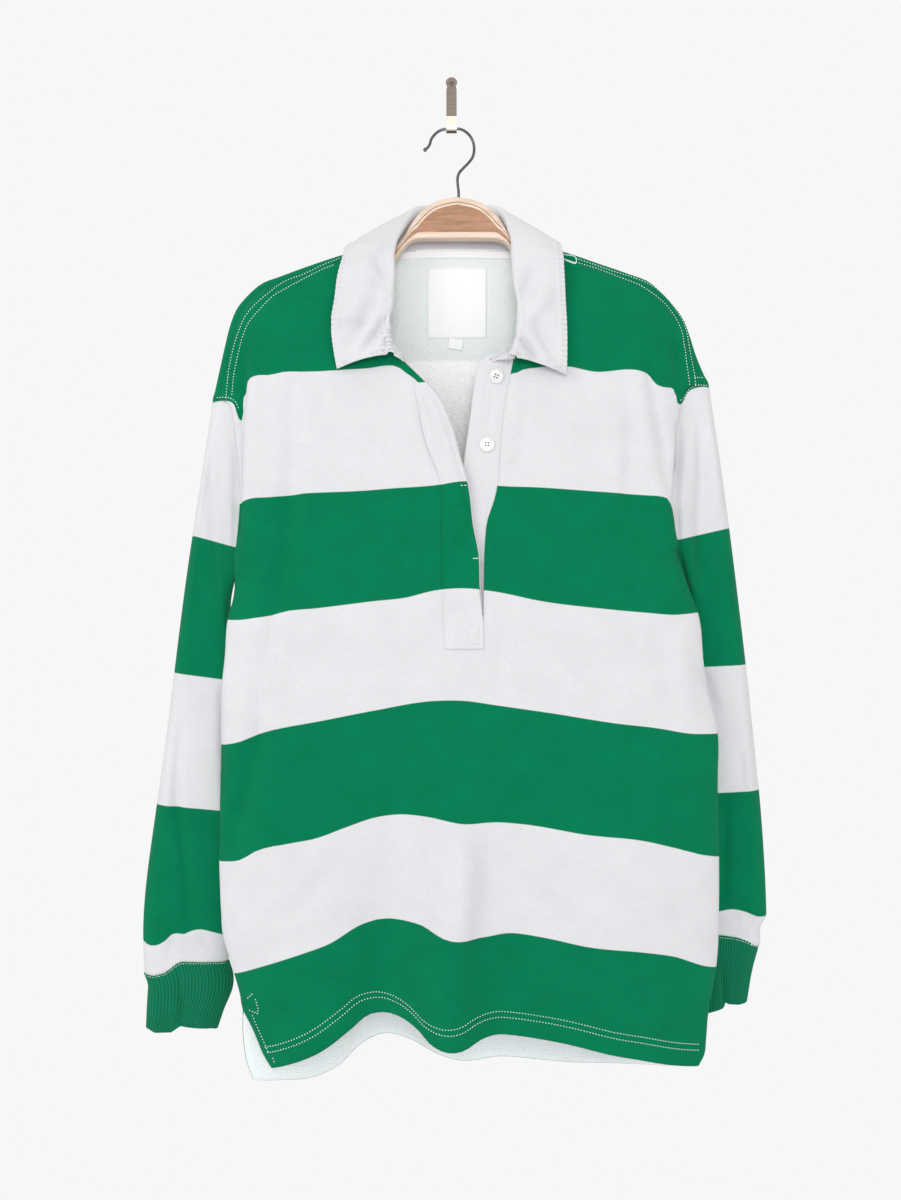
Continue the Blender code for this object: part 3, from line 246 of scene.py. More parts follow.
# Sleeve sections, from the armhole to the cuff seam, in mm: outer end x, z and inner end x, z; then
# what is the same on both sides: the inner and the outer end's depth and half the thickness
SLEEVE_COLUMNS = ("out_x", "out_z", "in_x", "in_z", "in_y", "out_y", "half")
ARMHOLE_CORNER = 6.0          # how square the armhole's upper inner corner is (1 = straight)
SLEEVE_CORNER = 0.2           # how much squarer than straight the section below it is
SLEEVE = {
    -1: [(-234, -305, -209, -479), (-241, -353, -216, -499), (-248, -402, -219, -526),
         (-257, -456, -213, -563), (-265, -515, -197, -603), (-272, -574, -192, -652),
         (-281, -647, -196, -706), (-291, -716, -204, -755), (-300, -775, -210, -799),
         (-305, -824, -215, -834), (-301, -864, -219, -857)],
    1: [(252, -289, 218, -453), (260, -343, 225, -476), (268, -397, 229, -503),
        (274, -446, 226, -533), (281, -500, 219, -570), (289, -569, 220, -623),
        (298, -642, 226, -686), (305, -726, 229, -755), (308, -775, 229, -794),
        (309, -809, 229, -819), (301, -840, 234, -834)],
}
SLEEVE_DEPTH = [(-49, -31, 10.0), (-42, -31, 13.0), (-36, -31, 16.0), (-32, -31, 18.0),
                (-30, -31, 18.0), (-30, -30, 17.5), (-30, -30, 17.0), (-30, -30, 16.5),
                (-30, -30, 16.0), (-30, -30, 15.0), (-30, -30, 13.0)]
# Cuff sections: outer end x, z; inner end x, z; half depth, in mm
CUFF = {
    -1: [(-301, -864, -219, -857, 13.0), (-297, -882, -215, -870, 13.5),
         (-299, -922, -230, -921, 12.0)],
    1: [(301, -840, 234, -834, 13.0), (296, -858, 236, -853, 13.5),
        (289, -896, 240, -900, 12.0)],
}

# Back neckline between the shoulder wraps: x, y, z in mm
BACK_NECK = [(-64, -16, -156.5), (-45, -13.5, -154.5), (2, -13, -153), (49, -13.5, -154),
             (68, -16, -155)]

# Placket strips: z of the top and of the foot in mm
STRIPS = {"fly": (-282, -546), "facing": (-292, -512), "underlap": (-262, -530)}
FACING_LIP = 1.6              # how far the facing shows past the slit's edge, in mm
UNDERLAP_TUCK = 5             # how far the underlap reaches behind the left front, in mm
UNDERLAP_STEP = 2.0           # how far it lies back beside the slit, in mm
UNDERLAP_LEAN = 0.06          # and how fast it leans back towards its free edge
UNDERLAP_FOOT = (-440, 40, 1.5)   # z where its foot sets back, over what height and by how much

# Collar sections from the right front end, round the back, to the left front end: place along
# the neck seam (0 to 1), roll line x, y, z and outer edge x, y, z in mm
COLLAR = [
    (0.000, -58, -69, -264, -109, -64, -279),
    (0.045, -61, -67, -246, -112, -63, -263),
    (0.110, -58, -64, -218, -115, -61, -236),
    (0.180, -55, -58, -188, -112, -57, -211),
    (0.245, -56, -50, -164, -109, -54, -186),
    (0.295, -52, -44, -147, -105, -49, -169),
    (0.330, -45, -30, -130, -103, -36, -156),
    (0.380, -34, -16, -112, -97, -19, -153),
    (0.430, -18, -11, -108, -60, -7, -150),
    (0.490, 2, -10, -107, 2, -4, -149),
    (0.550, 24, -11, -108, 64, -7, -150),
    (0.600, 46, -16, -112, 99, -19, -152),
    (0.650, 54, -30, -130, 106, -36, -153),
    (0.685, 58, -44, -147, 107, -49, -166),
    (0.740, 59, -50, -167, 108, -54, -183),
    (0.810, 61, -59, -198, 109, -57, -211),
    (0.870, 65, -65, -227, 110, -61, -239),
    (0.935, 62, -68, -252, 110, -64, -268),
    (1.000, 58, -70, -267, 109, -67, -285),
]
COLLAR_TAIL = [(48, -269.0), (37, -268.8)]   # the neck seam's run over the underlap: x, z in mm
ROLL_HALF_WIDTH = 2.7 * MM    # half the width of the turn at the collar's roll line
LEAF_CROWN = 2.5 * MM         # how far the collar's leaf stands out between roll and edge

# Hanger, outwards from its middle: the hump (out, top z, foot z), then the arms under the shoulder
# ridge (out, room under the cloth, height) and the rounding of the tip (out, inset), in mm
HANGER_HUMP = [(0, -106, -147), (12, -108, -147), (24, -112, -147), (33, -118.5, -147),
               (41, -127, -148), (46, -135, -150), (51, -143.5, -155), (58, -152, -164),
               (66, -159.5, -175)]
HANGER_ARM = [(82, 6.5, 20), (104, 6.0, 22), (130, 3.6, 22), (160, 1.4, 19), (170, 0.6, 17)]
HANGER_END = [(4, 1.2), (6.5, 3.4)]
HANGER_SLOPE = 0.45           # how far the arms fall for each step outwards at the tip
BUTTONS = {"button_top": (43, -285), "button_low": (34, -351)}   # x, z in mm
LABEL = (-24, 35, -170, -240)     # left, right, top, foot in mm
SIZE_TAG = (-3, 11, -240.6, -251)
TAPE = (-58, 63, -1.5, 7.0)       # left, right, top and foot below the neckline, in mm
print("lines of the shirt:", len(SIDE_SEAM[-1]), "points down the right side seam")

# %% Curves and spread panels
def mm(points):
    return np.asarray(points, float) * MM


def run_along(line):
    """How far along a row of points each one lies, from 0."""
    return np.concatenate(([0.0], np.cumsum(np.linalg.norm(np.diff(line, axis=0), axis=1))))


def read_at(places, run, line):
    """Points of a row of points at some distances along it."""
    return np.stack([np.interp(places, run, column) for column in line.T], axis=-1)


def at_depth(line, depth):
    """A row of x, z with its depth put in between: x, y, z."""
    return np.stack((line[:, 0], np.broadcast_to(depth, len(line)), line[:, 1]), axis=1)


def curve(points, fractions):
    """Points at the given fractions of the length of a smooth curve through the points."""
    points = np.asarray(points, float)
    knots = run_along(points)
    slopes = np.gradient(points, knots, axis=0)
    steps = np.linspace(0.0, knots[-1], 24 * len(points))
    span = np.clip(np.searchsorted(knots, steps, side="right") - 1, 0, len(points) - 2)
    width = (knots[span + 1] - knots[span])[:, None]
    t = (steps[:, None] - knots[span][:, None]) / width
    fine = ((2 * t**3 - 3 * t**2 + 1) * points[span] + (t**3 - 2 * t**2 + t) * width * slopes[span]
            + (3 * t**2 - 2 * t**3) * points[span + 1] + (t**3 - t**2) * width * slopes[span + 1])
    return along(fine, fractions)


def along(line, fractions):
    """Points at the given fractions of a polyline's length."""
    run = run_along(line)
    return read_at(np.asarray(fractions) * run[-1], run, line)


def lookup(pairs, value):
    """A smooth function through (place, value) pairs, read at a place."""
    fine = curve(sorted(pairs), np.linspace(0, 1, 200))
    return np.interp(value, fine[:, 0], fine[:, 1])


def smooth(t):
    t = np.clip(t, 0, 1)
    return t * t * (3 - 2 * t)


def rounded(t):
    """Rises from 0 to 1 like a quarter circle."""
    return np.sqrt(1 - (1 - np.clip(t, 0, 1)) ** 2)


def fold_forward(x, z):
    """How far the folds of the front stand forward at x, z."""
    total = np.zeros(np.broadcast(x, z).shape)
    for _, kind, x_top, z_top, x_low, z_low, half_width, forward in FOLDS:
        run = (z_top * MM - z) / ((z_top - z_low) * MM)
        middle = (x_top + (x_low - x_top) * np.clip(run, 0, 1.2)) * MM
        strength = np.sin(pi * np.clip(run, 0, 1)) ** 2 if kind == "soft" else smooth(run)
        across = np.exp(-((x - middle) / (half_width * MM)) ** 2)
        total = total + strength * across * forward * MM
    return total


def front_y(x, z):
    """Depth of the front away from its edges."""
    return lookup([(row[0] * MM, row[1] * MM) for row in DEPTH], z) - fold_forward(x, z)


def back_y(z):
    return lookup([(row[0] * MM, row[2] * MM) for row in DEPTH], z)


def side_fractions(count):
    """Column places from a side seam (0) to the middle (1), closer where the front rounds."""
    angles = np.radians(90) * np.arange(TURN_COLUMNS) / TURN_COLUMNS
    near = TURN_SHARE * (1 - np.cos(angles))
    return np.concatenate((near, np.linspace(TURN_SHARE, 1.0, count - TURN_COLUMNS + 1)))


def towards_end(count):
    """Row places from 0 to 1, closer together near the end."""
    return 1 - (1 - np.linspace(0, 1, count + 1)) ** CROWDING


def coons(top, foot, left, right, u, v):
    """A grid of points spanned between four edges, u across and v down."""
    u = u[None, :, None]
    v = v[:, None, None]
    sides = (1 - u) * left[:, None] + u * right[:, None]
    ends = (1 - v) * top[None] + v * foot[None]
    corners = ((1 - u) * (1 - v) * top[0] + u * (1 - v) * top[-1]
               + (1 - u) * v * foot[0] + u * v * foot[-1])
    return sides + ends - corners


def fractions_of(*lines):
    """How far along each point lies, from 0 to 1; the mean where there are several lines."""
    runs = [run_along(line) for line in lines]
    return sum(run / run[-1] for run in runs) / len(lines)


# %% Shoulder and sleeves
def shoulder(side, fractions, angle):
    """The cloth over the shoulder, from the neck (0) to the sleeve head (1), at one angle."""
    flat = mm(RIDGE[side])
    ridge, ahead, behind = (curve(flat, np.clip(np.asarray(fractions) + step, 0, 1))
                            for step in (0, 0.01, -0.01))
    run = ahead - behind
    run /= np.linalg.norm(run, axis=1)[:, None]
    inward = np.stack((side * run[:, 1], -side * run[:, 0]), axis=1)
    place = ridge + inward * (SHOULDER_ROUND * (1 - cos(radians(angle))))
    return at_depth(place, RIDGE_Y - SHOULDER_ROUND * sin(radians(angle)))


def section_edges(row, wrap):
    """The front and back halves of a flat oval section, each from its outer to its inner end."""
    turn = np.radians(np.linspace(0, 90, 120))
    power = 2.0 / row["corner"]
    across = np.sin(turn) ** power
    down = 1 - np.cos(turn) ** power
    start = np.array((row["out_x"], row["out_z"])) * MM
    end = np.array((row["in_x"], row["in_z"])) * MM
    path = np.stack((start[0] + (end[0] - start[0]) * across,
                     start[1] + (end[1] - start[1]) * down), axis=1)
    path = along(path, (1 - np.cos(np.linspace(0, pi, 240))) / 2)
    run = run_along(path)
    thin = max(END_CLOSE[0] * wrap, END_CLOSE[1] * run[-1])
    ends = rounded(run / wrap) * rounded((run[-1] - run) / thin)
    middle = (row["out_y"] + (row["in_y"] - row["out_y"]) * run / run[-1]) * MM
    return [at_depth(path, middle + sign * row["half"] * MM * ends) for sign in (-1, 1)]


def section_at(side, place):
    """The sleeve's section values at a place from the armhole (0) to the cuff seam (1)."""
    table = [ends + deep for ends, deep in zip(SLEEVE[side], SLEEVE_DEPTH)]
    knots = np.linspace(0, 1, len(table))
    row = {name: float(lookup(list(zip(knots, column)), place))
           for name, column in zip(SLEEVE_COLUMNS, zip(*table))}
    row["corner"] = ARMHOLE_CORNER if place == 0 else 1 + SLEEVE_CORNER * (1 - place)
    return row


def sleeve_ring(side, place):
    """One ring of a sleeve: down the front to the inner end, then up the back and round."""
    row = section_at(side, place)
    wrap = max(SHOULDER_ROUND, row["half"] * MM)
    front, back = section_edges(row, wrap)
    run = run_along(front[:, [0, 2]])
    drops = [wrap * (1 - cos(radians(angle))) for angle in WRAP_ANGLES]
    down, up = (along(np.vstack((read_at(drops[0], run, half), half[run > drops[0]])),
                      towards_end(count))
                for half, count in ((front, ARM_ROWS), (back, BACK_ARM_ROWS)))
    over = [read_at(drop, run, front if angle >= 0 else back)
            for angle, drop in zip(WRAP_ANGLES[1:-1], drops[1:-1])]
    return down, np.array(over), up


# %% The body's panels
def front_surface(side_line, top_line, grid):
    """Puts a grid of the front at its depth: y from the folds, rounded to its edges."""
    x, z = grid[..., 0], grid[..., 2]
    from_side = np.abs(x - side_line[:, None, 0])
    from_top = np.linalg.norm(grid[..., [0, 2]] - top_line[None][..., [0, 2]], axis=2)
    share = (side_line[:, None, 1] * from_top + top_line[None, :, 1] * from_side)
    edge = share / np.maximum(from_top + from_side, 1e-9)
    blend = rounded(from_side / FRONT_ROUND) * rounded(from_top / TOP_ROUND)
    out = grid.copy()
    out[..., 1] = edge + (front_y(x, z) - edge) * blend
    out[0] = top_line
    out[:, 0] = side_line
    return out


def front_top(side):
    """The half of the front above the slit's foot: shoulder, armhole, neckline and slit."""
    u = side_fractions(SHOULDER_COLUMNS)
    armhole = sleeve_ring(side, 0)[0]
    top = shoulder(side, 1 - u, WRAP_ANGLES[0])
    top[0] = armhole[0]
    neck = curve(np.vstack((top[-1][[0, 2]], mm(NECKLINE[side]))),
                 np.linspace(0, 1, NECKLINE_ROWS + 1))
    slit = curve(mm(SLIT[side]), np.linspace(0, 1, ARM_ROWS - NECKLINE_ROWS + 1))
    inner = at_depth(np.vstack((neck, slit[1:])), 0.0)
    foot = armhole[-1] + (inner[-1] - armhole[-1]) * u[:, None]
    return front_surface(armhole, top, coons(top, foot, armhole, inner, u, fractions_of(armhole)))


def seam_rows(side, vent):
    seam = curve(mm(SIDE_SEAM[side]), np.linspace(0, 1, SEAM_ROWS + 1) ** SEAM_CROWDING)
    return np.vstack((seam, curve(mm(vent[side]), np.linspace(0, 1, VENT_ROWS + 1))[1:]))


def hemmed(top, points, left, right, u):
    """A grid between two side edges, from the row above it down to its hem."""
    foot = at_depth(curve(mm(points), u), 0.0)
    foot[0], foot[-1] = left[-1], right[-1]
    return coons(top, foot, left, right, u, fractions_of(left, right))


def from_sides(grid, left, right):
    """How far a grid's points lie from its two sides, and the depth of the nearer side."""
    from_left, from_right = grid[..., 0] - left[:, None, 0], right[:, None, 0] - grid[..., 0]
    nearer = np.where(from_left < from_right, left[:, None, 1], right[:, None, 1])
    return from_left, from_right, nearer


def front_low(right_half, left_half):
    """The front from the slit's foot to the hem."""
    top = np.vstack((right_half[-1], left_half[-1][::-1][1:]))
    left, right = seam_rows(-1, FRONT_VENT), seam_rows(1, FRONT_VENT)
    u = (top[:, 0] - top[0, 0]) / (top[-1, 0] - top[0, 0])
    grid = hemmed(top, FRONT_HEM, left, right, u)
    from_left, from_right, edge = from_sides(grid, left, right)
    blend = rounded(from_left / FRONT_ROUND) * rounded(from_right / FRONT_ROUND)
    grid[..., 1] = edge + (front_y(grid[..., 0], grid[..., 2]) - edge) * blend
    grid[0], grid[:, 0], grid[:, -1] = top, left, right
    return grid


def back_neck():
    """The back neckline between the shoulder wraps, and its columns' places."""
    start, end = shoulder(-1, [0], WRAP_ANGLES[-1])[0], shoulder(1, [0], WRAP_ANGLES[-1])[0]
    return curve(np.vstack((start, mm(BACK_NECK), end)), np.linspace(0, 1, NECK_COLUMNS + 1))


def back_panels():
    """The shoulder wraps and the back, above and below the underarms."""
    u_side = side_fractions(SHOULDER_COLUMNS)
    wraps, armholes = {}, {}
    for side in (-1, 1):
        down, over, up = sleeve_ring(side, 0)
        wraps[side] = np.array([shoulder(side, 1 - u_side, angle) for angle in WRAP_ANGLES])
        wraps[side][:, 0] = np.vstack((down[:1], over, up[:1]))
        armholes[side] = up
    top = np.vstack((wraps[-1][-1], back_neck()[1:-1], wraps[1][-1][::-1]))
    left, right = armholes[-1], armholes[1]
    beside = BACK_SIDE_SHARE * np.arange(SHOULDER_COLUMNS + 1) / SHOULDER_COLUMNS
    middle = np.linspace(BACK_SIDE_SHARE, 1 - BACK_SIDE_SHARE, NECK_COLUMNS + 1)
    u = np.concatenate((beside, middle[1:-1], 1 - beside[::-1]))
    foot = left[-1] + (right[-1] - left[-1]) * u[:, None]
    grid = coons(top, foot, left, right, u, fractions_of(left, right))
    upper = back_surface(grid, left, right, top)
    left, right = seam_rows(-1, BACK_VENT), seam_rows(1, BACK_VENT)
    lower = back_surface(hemmed(upper[-1], BACK_HEM, left, right, u), left, right)
    lower[0] = upper[-1]
    return wraps, upper, lower


def back_surface(grid, left, right, top=None):
    """Puts a grid of the back at its depth, eased to its sides and, above, to the shoulders."""
    from_left, from_right, edge = from_sides(grid, left, right)
    blend = smooth(np.minimum(from_left, from_right) / BACK_TAPER)
    grid[..., 1] = edge + (back_y(grid[..., 2]) - edge) * blend
    if top is not None:
        drop = np.linalg.norm(grid[..., [0, 2]] - top[None][..., [0, 2]], axis=2)
        grid[..., 1] = top[None, :, 1] + (grid[..., 1] - top[None, :, 1]) * smooth(drop / TOP_ROUND)
        grid[0] = top
    grid[:, 0], grid[:, -1] = left, right
    return grid


# %% [markdown]
# ## Stripes
# The stripes are knitted in, so they follow the cloth: they rise over the folds and drop at the
# sides. Each line where the colour changes is a row of points on the front. Every point of the
# cloth gets one number that says how many such lines lie above it, with a fraction between two
# lines. The material only has to ask whether that number's whole part is even.

# %% Where the colour changes
BODY_LINES = [                    # x, z in mm, seen from the front
    [(-240, -308), (-219, -306.7), (-214, -308), (-210.7, -311), (-208.9, -315.6),
     (-206.7, -323.5), (-204.9, -326.7), (-203.6, -327), (-202.5, -315.6), (-202.2, -306),
     (-200.4, -302), (-198, -298), (-196.9, -291.7), (-194, -287.3), (-187.7, -284.6),
     (-175, -284), (-159, -281), (-137, -281), (-83, -278), (-50, -277.2),
     (-45, -281), (-39.5, -286), (-30, -287), (-20, -277.5), (55, -283.5), (62, -282.5),
     (68, -279.2), (80, -277.3), (112, -276), (136, -281), (180, -280), (189, -283),
     (197, -293), (205, -295.5), (213.5, -296), (215.8, -299), (217.2, -309), (221, -311),
     (225, -306.4), (230.4, -297), (235, -294.3), (240, -293), (260, -293)],
    [(-203, -407), (-195, -404), (-173, -402), (-130, -398), (-101, -397), (-44, -393),
     (-16, -391), (13, -387), (41, -391), (84, -393), (141, -397), (185, -400), (199, -401),
     (207, -403), (211, -410), (216, -416)],
    [(-213, -519), (-201, -519), (-186, -517), (-172, -515), (-158, -511), (-129, -508),
     (-72, -501), (-44, -498), (-16, -491), (13, -489), (41, -492), (84, -501), (140, -508),
     (183, -512), (212, -514), (234, -512)],
    [(-219, -638), (-200, -634), (-185, -628), (-171, -623), (-157, -620), (-129, -615),
     (-72, -604), (-16, -595), (13, -595), (41, -599), (97, -607), (154, -616), (196, -621),
     (225, -626), (252, -627)],
    [(-218, -748), (-199, -745), (-184, -736), (-156, -729), (-128, -724), (-100, -714),
     (-72, -705), (-44, -702), (-16, -705), (13, -710), (41, -709), (69, -711), (125, -720),
     (181, -726), (210, -733), (239, -741), (255, -744)],
    [(-212, -856), (-200, -852), (-171, -842), (-142, -832), (-114, -822), (-86, -806),
     (-72, -802), (-44, -802), (-30, -805), (-1, -817), (27, -817), (55, -813), (83, -816),
     (125, -824), (180, -829), (209, -834), (239, -845), (251, -848)],
]
BACK_TOP = [(-245, -312), (-212, -308), (-195, -290), (-150, -273), (-60, -264), (60, -264),
            (150, -273), (198, -285), (222, -298), (260, -300)]
SLEEVE_LINES = {
    -1: [[(-249, -438), (-209, -449)], [(-267, -571), (-221, -577)], [(-283, -699), (-225, -704)],
         [(-300, -832.7), (-292.5, -835.5), (-283, -834), (-277, -830), (-271.6, -825),
          (-266.4, -823.5), (-260, -824.2), (-253.5, -821.6), (-244.4, -819.6), (-234, -821.6),
          (-222.3, -825.6)]],
    1: [[(219, -442), (275, -429)], [(242, -565), (286, -563)], [(260, -687), (296, -685)],
        [(260, -802), (273, -800), (286, -803), (296, -807), (305, -808)]],
}
PITCH = 110.0                     # mm of cloth between two lines


def read_lines(lines):
    """Each line finely along a smooth curve, with x always rising."""
    fine = [curve(np.array(line, float), np.linspace(0, 1, 240)) for line in lines]
    return [np.stack((np.maximum.accumulate(line[:, 0]), line[:, 1]), axis=1) for line in fine]


def stripe_number(lines, points):
    """How many colour lines lie above each point, with a fraction between two lines."""
    x, z = points[:, 0] / MM, points[:, 2] / MM
    heights = [np.interp(x, line[:, 0], line[:, 1]) for line in read_lines(lines)]
    number = 1 - (z - heights[0]) / PITCH
    for k in range(1, len(heights)):
        share = (heights[k - 1] - z) / (heights[k - 1] - heights[k])
        number = np.where(z < heights[k - 1], k + np.clip(share, 0, 1), number)
    number = np.where(z < heights[-1], len(heights) + (heights[-1] - z) / PITCH, number)
    return np.clip(number, 0.02, len(lines) + 0.98)


def level_lines(lines, share):
    """The same lines drawn part of the way towards straight ones between their ends."""
    eased = []
    for line in lines:
        line = np.array(line, float)
        chord = np.interp(line[:, 0], line[[0, -1], 0], line[[0, -1], 1])
        eased.append(np.stack((line[:, 0], line[:, 1] + (chord - line[:, 1]) * share), axis=1))
    return eased


print(len(BODY_LINES), "colour lines on the body")

# %% [markdown]
# ## Creases
# Cotton jersey that hangs from two shoulders falls in long soft folds, with short pulls where it
# is sewn to something. The long folds are part of the panels' depth. The rest are listed here.
# Each one is a path over the cloth with a half width and a height: a ridge where the height
# is above zero, a valley where it is below. They are added along the cloth's own direction, so the
# same tool works on the body, the sleeves and the collar.

# %% Creases
def beside(points, path):
    """How far each point lies from a path, and how far along the path that is, from 0 to 1."""
    away, share = np.full(len(points), 1e9), np.zeros(len(points))
    lengths = run_along(path)
    for k, (a, b) in enumerate(zip(path[:-1], path[1:])):
        run = b - a
        t = np.clip((points - a) @ run / max(run @ run, 1e-12), 0, 1)
        here = np.linalg.norm(points - (a + t[:, None] * run), axis=1)
        near = here < away
        away[near] = here[near]
        share[near] = (lengths[k] + t * (lengths[k + 1] - lengths[k]))[near] / lengths[-1]
    return away, share


def crease(points, normals, rows):
    """How far creases push points along their normals; a row is path, half width and height."""
    total = np.zeros(len(points))
    for path, half_width, height in rows:
        away, share = beside(points, path)
        fade = np.sin(pi * (0.04 + 0.92 * share)) ** 0.6      # a crease dies out at both ends
        total += np.exp(-(away / (half_width * MM)) ** 2) * height * MM * fade
    return normals * total[:, None]


def flat_path(places):
    """A path given as x, z in mm, on the flat."""
    return np.array([(x * MM, 0, z * MM) for x, z in places])


def stand_forward(x, z, rows):
    """How far the creases of a nearly flat strip stand forward at x, z."""
    flat = np.stack((x, 0 * x, z), axis=-1).reshape(-1, 3)
    paths = [(flat_path(path), half_width, height) for half_width, height, *path in rows]
    return crease(flat, np.zeros_like(flat) + (0, 1, 0), paths)[:, 1].reshape(x.shape)


# %% [markdown]
# ## A wall of cloth
# Real cloth has a thickness, and its edge is what tells the eye so. A panel is built as an outer
# skin, an inner skin set in by the cloth's thickness, and a rounded rim round every open edge.
# The inner skin gets its own material, because a striped knit is paler on its inside; it is also
# painted brighter still, as painted light for the shaded inside of the shirt.

# %% A wall of cloth
def mesh_of(name, points, faces):
    mesh = bpy.data.meshes.new(name)
    mesh.from_pydata([tuple(p) for p in points], [], faces)
    return mesh


def tree_of(points, faces):
    """A search tree over some faces, for finding the nearest cloth."""
    return BVHTree.FromPolygons([tuple(p) for p in points], faces)


def map_weave(mesh, flat):
    """Lays the weave on a mesh: one flat place in metres for each of its points."""
    corners = np.zeros(len(mesh.loops), int)
    mesh.loops.foreach_get("vertex_index", corners)
    layer = mesh.uv_layers.new(name="weave")
    layer.data.foreach_set("uv", flat[corners].astype(np.float32).ravel())


def skin_normals(points, faces):
    mesh = mesh_of("skin", points, faces)
    normals = np.array([v.normal[:] for v in mesh.vertices])
    bpy.data.meshes.remove(mesh)
    return normals


def grid_faces(rows, columns, flip, closed=False):
    """The faces of a grid of points, turned over or not, its last column joined or not."""
    faces = []
    for i in range(rows - 1):
        for j in range(columns if closed else columns - 1):
            k = (j + 1) % columns
            quad = (i * columns + j, i * columns + k, (i + 1) * columns + k, (i + 1) * columns + j)
            faces.append(quad[::-1] if flip else quad)
    return faces


def cloth(name, points, faces, thick, outside, inside, weave, stripe=None, normals=None):
    """One closed wall: outer skin, inner skin and a rounded rim, with its weave map."""
    if normals is None:
        normals = skin_normals(points, faces)
    count = len(points)
    pairs = [pair for face in faces for pair in zip(face, face[1:] + face[:1])]
    there = set(pairs)
    rim = [(a, b) for a, b in pairs if (b, a) not in there]
    away = {}
    for a, b in rim:
        out = np.cross(points[b] - points[a], normals[a] + normals[b])
        out /= max(np.linalg.norm(out), 1e-12)
        for k in (a, b):
            away[k] = away.get(k, 0) + out
    edge = {k: 2 * count + n for n, k in enumerate(away)}
    swell = [points[k] - normals[k] * thick / 2 + out / np.linalg.norm(out) * 0.35 * thick
             for k, out in away.items()]
    every = [points, points - normals * thick] + ([np.array(swell)] if swell else [])
    inner = [tuple(k + count for k in face[::-1]) for face in faces]
    rims = [(b, a, edge[a], edge[b]) for a, b in rim]
    rims += [(edge[b], edge[a], a + count, b + count) for a, b in rim]
    mesh = mesh_of(name, np.vstack(every), list(faces) + inner + rims)
    source = np.concatenate((np.arange(count), np.arange(count), np.array(list(away), int)))
    map_weave(mesh, np.asarray(weave)[source])
    if stripe is not None:
        number = mesh.attributes.new("stripe", "FLOAT", "POINT")
        number.data.foreach_set("value", np.asarray(stripe)[source].astype(np.float32))
    mesh.materials.append(outside)
    mesh.materials.append(inside)
    slots = np.zeros(len(mesh.polygons), np.int32)
    slots[len(faces):len(faces) + len(inner)] = 1
    mesh.polygons.foreach_set("material_index", slots)
    mesh.validate()
    mesh.shade_smooth()
    print(f"{name}: {len(mesh.polygons)} faces")
    return put(name, mesh)


# %% [markdown]
# ## Finishes
# Each finish starts from what the real one is. Heavy cotton jersey is matt, with a soft fuzz
# that lies upright and catches light at the edges, which sheen stands for. Its inside is a mat of
# pale loops. The collar is cotton twill, woven with fine diagonal lines, and the cuffs are knitted
# in ribs. One small function adds a node with its settings and links, and every pattern is sized
# in millimetres, a little coarser than real thread so that it can be seen from here.

# %% A node with its settings and links
def add(tree, kind, links=None, values=None, **settings):
    """A new node: what is plugged into it, its numbers, and its other settings."""
    node = tree.nodes.new(kind)
    for name, value in settings.items():
        setattr(node, name, value)
    for place, value in (values or {}).items():
        node.inputs[place].default_value = value
    for place, socket in (links or {}).items():
        tree.links.new(socket, node.inputs[place])
    return node


def two_tones(tree, factor, dark, light):
    """A mix of two hex colours."""
    return add(tree, "ShaderNodeMix", {"Factor": factor}, {6: colour(dark), 7: colour(light)},
               data_type="RGBA").outputs[2]


def paint(tree, shader, tone):
    tree.links.new(tone, shader.inputs["Base Color"])


def relief(tree, shader, height, depth_mm):
    bump = add(tree, "ShaderNodeBump", {"Height": height},
               {"Strength": 1.0, "Distance": depth_mm * MM})
    tree.links.new(bump.outputs["Normal"], shader.inputs["Normal"])


def lines_across(tree, place, step_mm, turn=0.0):
    """A wave of even lines, one each step_mm, on a map in metres."""
    spun = add(tree, "ShaderNodeMapping", {"Vector": place}, {"Rotation": (0, 0, turn)})
    return add(tree, "ShaderNodeTexWave", {"Vector": spun.outputs["Vector"]},
               {"Scale": 2 * pi / (20 * step_mm * MM), "Distortion": 0.0}, bands_direction="X")


